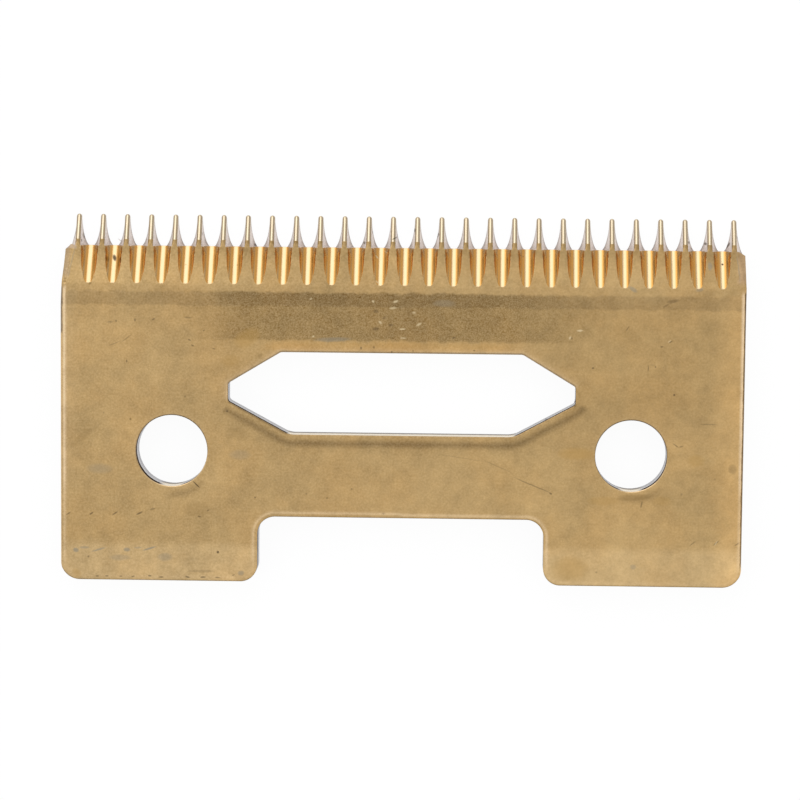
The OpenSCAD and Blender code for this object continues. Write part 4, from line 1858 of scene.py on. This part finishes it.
@dataclass(frozen=True)
class BrightGold:
    """The smooth coating in the flutes and on the ridges, with a painted highlight down the middle,
    painted reflections beside it and painted shade at the edges.
    """

    name: str
    # Painted highlight colour down the middle.
    color: tuple[float, float, float]
    # Painted reflection colour beside the highlight, and the distances over which it takes over.
    side: tuple[float, float, float]
    reach: tuple[float, float]
    # Painted shade colour at the edges, and the distances over which it takes over.
    rim_shade: tuple[float, float, float]
    rim_reach: tuple[float, float]
    # Where the painted highlight sits in each pitch.
    phase: float
    roughness: float

    def material(self, shape: BladeShape, marks: MarkMap) -> bpy.types.Material:
        """Builds the finish.

        Args:
            shape: The blade's shape.
            marks: The marks of the photograph.

        Returns:
            The material.
        """
        sizes = shape.sizes
        bench = FinishBench(self.name, sizes)
        phase = self.phase - sizes.comb_shift / sizes.pitch
        turns = bench.line(bench.across, 1 / sizes.pitch, phase)
        near = bench.math("SUBTRACT", bench.math("FRACT", turns), 0.5)
        off_middle = bench.times(bench.math("ABSOLUTE", near), sizes.pitch)
        # Painted light and shade across each flute and ridge: highlight, reflection colour, then shade
        # towards the edges; the nose takes the reflection colour.
        nose = bench.ramp(bench.along, sizes.length - 0.14, sizes.length - 0.02, 0.0, 0.7)
        share = bench.math("MAXIMUM", bench.ramp(off_middle, *self.reach), nose)
        color = bench.blend(share, self.color, self.side)
        color = bench.blend(bench.ramp(off_middle, *self.rim_reach), color, self.rim_shade)
        lines = bench.scaled(bench.place, (14.0, 1.1, 1.1))
        streak = bench.noise(lines, 1.0, 3.0, 0.6).outputs[0]
        cloud = bench.noise(bench.place, 1.3, 4.0, 0.65).outputs[0]
        shade = bench.line(streak, 0.12, 0.86)
        shade = bench.line(cloud, 0.16, shade)
        color = bench.gain(color, shade)
        specks = bench.flecks(bench.place, 2.6, 0.2, 0.14)
        specks = bench.times(specks, 0.5)
        color = bench.blend(specks, color, StainAndGlint.UMBER.value)
        for kind in StainAndGlint:
            mask = bench.math("MINIMUM", marks.mask(bench, bench.place, kind), 0.95)
            color = bench.blend(mask, color, kind.value)
        dull = bench.line(cloud, 0.1, self.roughness - 0.05)
        height = bench.line(specks, -1.0, streak)
        return bench.metal(color, dull, bench.bump(height, 0.0009))


@dataclass(frozen=True)
class CutSteel:
    """Bare steel on the punched and cut walls, with painted light and shade on the punched walls by which
    way they face.
    """

    color: tuple[float, float, float] = (0.89, 0.8, 0.745)
    foot: tuple[float, float, float] = (0.58, 0.51, 0.47)
    punched: tuple[float, float, float] = (0.5, 0.49, 0.5)
    # Punched walls facing the light: painted highlight at the top, darker towards the foot.
    lit_top: tuple[float, float, float] = (0.8, 0.69, 0.51)
    lit_foot: tuple[float, float, float] = (0.28, 0.245, 0.21)
    # Painted shade at the top of punched walls turned from the light.
    painted_top_shade: tuple[float, float, float] = (0.14, 0.11, 0.09)
    burnished: float = 0.28
    torn: float = 0.5

    def material(self, shape: BladeShape, marks: MarkMap) -> bpy.types.Material:
        """Builds the finish.

        Args:
            shape: The blade's shape.
            marks: The marks of the photograph.

        Returns:
            The material.
        """
        bench = FinishBench("cut_steel", shape.sizes)
        drag = bench.noise(bench.scaled(bench.place, (9.0, 9.0, 0.8)), 1.0, 4.0, 0.65).outputs[0]
        patch = bench.noise(bench.place, 2.2, 4.0, 0.6).outputs[0]
        level = bench.line(patch, 0.5, bench.height)
        smooth = bench.ramp(level, 1.15, 1.35)
        shade = bench.line(drag, 0.3, 0.78)
        shade = bench.line(smooth, 0.08, shade)
        facing = bench.node("SeparateXYZ")
        bench.feed(facing.inputs[0], bench.node("NewGeometry").outputs["Normal"])
        # How far a wall faces the light, for its painted highlight.
        lit = bench.ramp(facing.outputs[1], 0.92, 0.985)
        top = bench.line(patch, 0.3, bench.height)
        edge = bench.blend(bench.ramp(top, 0.8, 1.1), self.lit_foot, self.lit_top)
        punched = bench.blend(lit, self.punched, edge)
        # Painted shade at the top of punched walls turned from the light.
        painted_top_shade = bench.ramp(top, shape.sizes.thickness - 0.62, shape.sizes.thickness - 0.38)
        painted_top_shade = bench.times(painted_top_shade, bench.math("SUBTRACT", 1.0, lit))
        punched = bench.blend(painted_top_shade, punched, self.painted_top_shade)
        foot = bench.ramp(bench.line(patch, 0.2, bench.height), 0.24, 0.1)
        color = bench.blend(foot, self.color, self.foot)
        comb = bench.ramp(bench.along, shape.sizes.root - 0.4, shape.sizes.root - 0.05)
        color = bench.gain(bench.blend(comb, punched, color), shade)
        color = bench.blend(marks.mask(bench, bench.place, StainAndGlint.PIT), color, StainAndGlint.PIT.value)
        specks = bench.flecks(bench.place, 1.7, 0.3, 0.22)
        color = bench.blend(bench.times(specks, 0.7), color, (0.12, 0.09, 0.08))
        dull = bench.ramp(smooth, 0.0, 1.0, self.torn, self.burnished)
        torn = bench.noise(bench.place, 9.0, 4.0, 0.7).outputs[0]
        height = bench.line(torn, bench.ramp(smooth, 0, 1, 1.4, 0.2), drag)
        # The reflection tint takes the same painted shade.
        glance = bench.blend(bench.math("SUBTRACT", painted_top_shade, comb), (1.0, 1.0, 1.0), self.painted_top_shade)
        return bench.metal(color, dull, bench.bump(height, 0.004), glance)


@dataclass(frozen=True)
class GroundSteel:
    """Bare steel on the cutting face, ground along the teeth."""

    color: tuple[float, float, float] = (0.62, 0.6, 0.58)
    roughness: float = 0.24

    def material(self, shape: BladeShape, marks: MarkMap) -> bpy.types.Material:
        """Builds the finish.

        Args:
            shape: The blade's shape.
            marks: Not used here.

        Returns:
            The material.
        """
        s = shape.sizes
        bench = FinishBench("ground_steel", s)
        fine = bench.noise(bench.scaled(bench.place, (0.35, 16.0, 1.0)), 1.0, 4.0, 0.7).outputs[0]
        wide = bench.noise(bench.scaled(bench.place, (0.1, 2.2, 1.0)), 1.0, 3.0, 0.6).outputs[0]
        cloud = bench.noise(bench.place, 0.5, 5.0, 0.65).outputs[0]
        front = bench.ramp(bench.along, s.length - s.front_land - 0.1, s.length - s.front_land)
        heel = bench.ramp(bench.along, s.heel_land + 0.1, s.heel_land)
        land = bench.math("MAXIMUM", front, heel)
        shade = bench.line(fine, 0.22, 0.72)
        shade = bench.line(wide, 0.1, shade)
        shade = bench.line(land, 0.1, shade)
        color = bench.gain(self.color, shade)
        stain = bench.ramp(cloud, 0.55, 0.75)
        color = bench.blend(bench.times(stain, 0.4), color, (0.42, 0.33, 0.2))
        dull = bench.line(cloud, 0.14, self.roughness)
        dull = bench.line(land, -0.08, dull)
        height = bench.math("ADD", fine, wide)
        return bench.metal(color, dull, bench.bump(height, 0.0012))


FINISHES = {
    Finish.SATIN: SatinGold(),
    # Across a flute: painted cream highlight, painted orange reflections, painted shade at the edges.
    Finish.BRIGHT: BrightGold(
        "bright_gold",
        color=(0.88, 0.68, 0.4),
        side=(0.84, 0.43, 0.11),
        reach=(0.06, 0.2),
        rim_shade=(0.61, 0.42, 0.2),
        rim_reach=(0.24, 0.4),
        phase=0.492,
        roughness=0.22,
    ),
    # Across a ridge: painted cream highlight, painted olive reflections, painted shade at the edges.
    Finish.RIDGE: BrightGold(
        "ridge_gold",
        color=(0.88, 0.74, 0.52),
        side=(0.5, 0.385, 0.25),
        reach=(0.02, 0.1),
        rim_shade=(0.44, 0.355, 0.24),
        rim_reach=(0.12, 0.17),
        phase=0.0,
        roughness=0.22,
    ),
    Finish.CUT: CutSteel(),
    Finish.GROUND: GroundSteel(),
}


@dataclass(frozen=True)
class Burr:
    """A thread of steel that was left standing at a cut edge.

    Its line is given in the pixels of the photograph, and its sizes in millimetres.
    """

    SIDES: ClassVar[int] = 8
    ROUNDS: ClassVar[int] = 12

    name: str
    line: tuple[tuple[float, float], ...]
    height: float
    radius: float

    def build(self, shape: BladeShape, studio: "Studio", material: bpy.types.Material) -> bpy.types.Object:
        """Builds the thread as a tube with pointed ends.

        Args:
            shape: The blade's shape.
            studio: The camera that took the photograph.
            material: Its finish.

        Returns:
            The thread.
        """
        length = shape.sizes.length
        pixels = np.array(self.line)
        plan = studio.trace(pixels, np.full(len(pixels), self.height), length)
        stops = np.linspace(0, len(plan) - 1, self.ROUNDS)
        line = np.column_stack([np.interp(stops, range(len(plan)), plan[:, k]) for k in (0, 1)])
        travel = np.gradient(line, axis=0)
        travel /= np.linalg.norm(travel, axis=1)[:, None]
        girth = self.radius * np.sin(np.linspace(0.12, math.pi - 0.12, self.ROUNDS)) ** 0.5
        turns = np.linspace(0, 2 * math.pi, self.SIDES, endpoint=False)
        across = np.cos(turns) * girth[:, None]
        grid = np.empty((self.ROUNDS, self.SIDES, 3))
        grid[:, :, 0] = line[:, :1] - travel[:, 1:] * across
        grid[:, :, 1] = line[:, 1:] + travel[:, :1] * across
        grid[:, :, 2] = self.height + np.sin(turns) * girth[:, None]
        draft = MeshDraft()
        draft.add_grid(grid, Finish.SATIN, closed=True)
        for ring in (grid[0], grid[-1]):
            draft.add_faces([draft.add_points(ring)], Finish.SATIN)
        piece = draft.build(self.name, shape.sizes, BladePiece.SHARP_ANGLE)
        piece.data.materials.append(material)
        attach(piece, BODY)
        return piece


BURRS = (
    Burr("hooked_burr", ((118.2, 238.7), (119.6, 239.9), (120.6, 240.5), (121.6, 242.4)), 0.3, 0.022),
    Burr("short_burr", ((195.9, 236.4), (195.3, 237.6), (195.1, 238.8)), 0.35, 0.03),
    Burr("window_end_burr", ((575.6, 398.6), (575.3, 400.6), (574.4, 402.8)), 1.2, 0.05),
    Burr("window_side_burr", ((544.8, 419.4), (547.2, 418.5), (550.2, 417.7)), 1.0, 0.04),
    Burr("window_foot_burr", ((517.5, 434.0), (522.0, 433.0), (527.0, 431.4)), 0.8, 0.035),
)


@dataclass(frozen=True)
class Studio:
    """The camera, the light tent round the blade and the floor under it.

    The tent shines about as bright as white, so a colour renders about as it is written.
    """

    focal_pixels: float = 2900.0
    frame_pixels: float = 800.0
    sensor_mm: float = 36.0
    camera_mm: tuple[float, float, float] = (5.365, 18.535, 195.84)
    camera_tilt_deg: tuple[float, float, float] = (5.426, -1.605, -0.677)
    roof: float = 1.0
    wall: float = 0.6
    wall_front: float = 0.15
    wall_side: float = 0.55
    horizon: float = 0.5
    panel_radiance: float = 0.8
    panel_size_m: tuple[float, float] = (0.43, 0.34)
    panel_middle_m: tuple[float, float, float] = (-0.1, 0.41, 0.262)
    floor_half_m: float = 1.5
    floor_gap_m: float = 0.00001
    floor_glow: float = 0.93
    floor_albedo: float = 0.1

    @property
    def turn(self) -> Matrix:
        """How the camera is turned."""
        turn = Matrix.Identity(4)
        for angle, axis in zip(self.camera_tilt_deg, "XYZ"):
            turn = turn @ Matrix.Rotation(math.radians(-angle), 4, axis)
        return turn

    def trace(self, pixels: np.ndarray, height: np.ndarray, length: float) -> np.ndarray:
        """Finds the places in the plan that the photograph shows at pixels.

        Args:
            pixels: Rows of pixels across and down the photograph.
            height: The height of the place under each.
            length: Length of the blade.

        Returns:
            The places, one in each row.
        """
        half = self.frame_pixels / 2
        down = np.full(len(pixels), -self.focal_pixels)
        rays = np.column_stack([pixels[:, 0] - half, half - pixels[:, 1], down])
        rays = rays @ np.array(self.turn.to_3x3()).T
        start = np.array(self.camera_mm) + (0, length / 2, 0)
        reach = (height - start[2]) / rays[:, 2]
        return (start + rays * reach[:, None])[:, :2]

    def add_camera(self) -> None:
        """Adds the camera that sees the blade as the photograph does."""
        data = bpy.data.cameras.new("camera")
        data.sensor_width = self.sensor_mm
        data.lens = self.sensor_mm * self.focal_pixels / self.frame_pixels
        data.clip_start = 0.005
        data.clip_end = 10
        camera = bpy.data.objects.new("camera", data)
        place = [value * MM for value in self.camera_mm]
        camera.matrix_world = Matrix.Translation(place) @ self.turn
        bpy.context.scene.collection.objects.link(camera)
        bpy.context.scene.camera = camera

    def add_world(self) -> None:
        """Adds the light tent, with dimmer walls and brighter sides."""
        world = bpy.data.worlds.new("light_tent")
        bpy.context.scene.world = world
        world.use_nodes = True
        bench = NodeBench(world.node_tree)
        toward = bench.node("TexCoord").outputs["Generated"]
        parts = bench.node("SeparateXYZ")
        bench.feed(parts.inputs[0], toward)
        flat = bench.scaled(toward, (1.0, 1.0, 0.0))
        compass = bench.node("SeparateXYZ")
        bench.feed(compass.inputs[0], bench.vector("NORMALIZE", flat).outputs[0])
        sideways = bench.math("POWER", bench.math("ABSOLUTE", compass.outputs[0]), 4.0)
        wall = bench.line(compass.outputs[1], self.wall_front, self.wall)
        wall = bench.line(sideways, self.wall_side, wall)
        low = bench.ramp(parts.outputs[2], 0.05, 0.3)
        wall = bench.math("ADD", bench.times(wall, low),
                          bench.times(bench.math("SUBTRACT", 1.0, low), self.horizon))
        high = bench.ramp(parts.outputs[2], 0.62, 0.86)
        level = bench.math("ADD", bench.times(high, self.roof),
                           bench.times(bench.math("SUBTRACT", 1.0, high), wall))
        seen = bench.node("LightPath").outputs["Is Camera Ray"]
        level = bench.math("MAXIMUM", level, seen)
        back = bench.node("Background")
        bench.feed(back.inputs["Strength"], level)
        output = bench.node("OutputWorld")
        bench.tree.links.new(back.outputs[0], output.inputs["Surface"])

    def add_panel(self) -> None:
        """Adds the soft panel beyond the teeth."""
        wide, high = self.panel_size_m
        data = bpy.data.lights.new("soft_panel", "AREA")
        data.shape = "RECTANGLE"
        data.size, data.size_y = wide, high
        data.energy = self.panel_radiance * math.pi * wide * high
        panel = bpy.data.objects.new("soft_panel", data)
        middle = Vector(self.panel_middle_m)
        turn = middle.to_track_quat("Z", "Y").to_matrix().to_4x4()
        panel.matrix_world = Matrix.Translation(middle) @ turn
        bpy.context.scene.collection.objects.link(panel)

    def add_floor(self) -> None:
        """Adds the white floor, which lets the camera look up through it from below."""
        half = self.floor_half_m
        mesh = bpy.data.meshes.new("floor")
        corners = [(-half, -half), (half, -half), (half, half), (-half, half)]
        mesh.from_pydata([(x, y, -self.floor_gap_m) for x, y in corners], [], [(0, 1, 2, 3)])
        floor = bpy.data.objects.new("floor", mesh)
        bpy.context.scene.collection.objects.link(floor)
        material = bpy.data.materials.new("white_floor")
        material.use_nodes = True
        bench = NodeBench(material.node_tree)
        path = bench.node("LightPath")
        seen = bench.math("MAXIMUM", path.outputs["Is Camera Ray"], path.outputs["Is Glossy Ray"])
        seen = bench.math("MAXIMUM", seen, path.outputs["Is Transmission Ray"])
        glow = bench.node("Emission")
        bench.feed(glow.inputs["Strength"], bench.times(seen, self.floor_glow))
        matte = bench.node("BsdfDiffuse")
        bench.feed(matte.inputs["Color"], (self.floor_albedo,) * 3)
        lit = bench.node("AddShader")
        bench.tree.links.new(glow.outputs[0], lit.inputs[0])
        bench.tree.links.new(matte.outputs[0], lit.inputs[1])
        below = bench.node("MixShader")
        bench.feed(below.inputs[0], bench.node("NewGeometry").outputs["Backfacing"])
        bench.tree.links.new(lit.outputs[0], below.inputs[1])
        bench.tree.links.new(bench.node("BsdfTransparent").outputs[0], below.inputs[2])
        output = bench.node("OutputMaterial")
        bench.tree.links.new(below.outputs[0], output.inputs["Surface"])
        mesh.materials.append(material)

    def build(self) -> None:
        """Builds the studio."""
        self.add_camera()
        self.add_world()
        self.add_panel()
        self.add_floor()
        bpy.context.scene.view_settings.view_transform = "Standard"


def main() -> None:
    """Builds the studio and the blade in order."""
    logging.basicConfig(level=logging.INFO, format="%(name)s: %(message)s")
    studio = Studio()
    studio.build()
    shape = BladeShape.from_frame()
    piece = BladePiece(shape).build()
    LOG.info("built %s", piece.name)
    for burr in BURRS:
        thread = burr.build(shape, studio, piece.data.materials[Finish.CUT.value])
        LOG.info("built %s", thread.name)


if __name__ == "__main__":
    main()
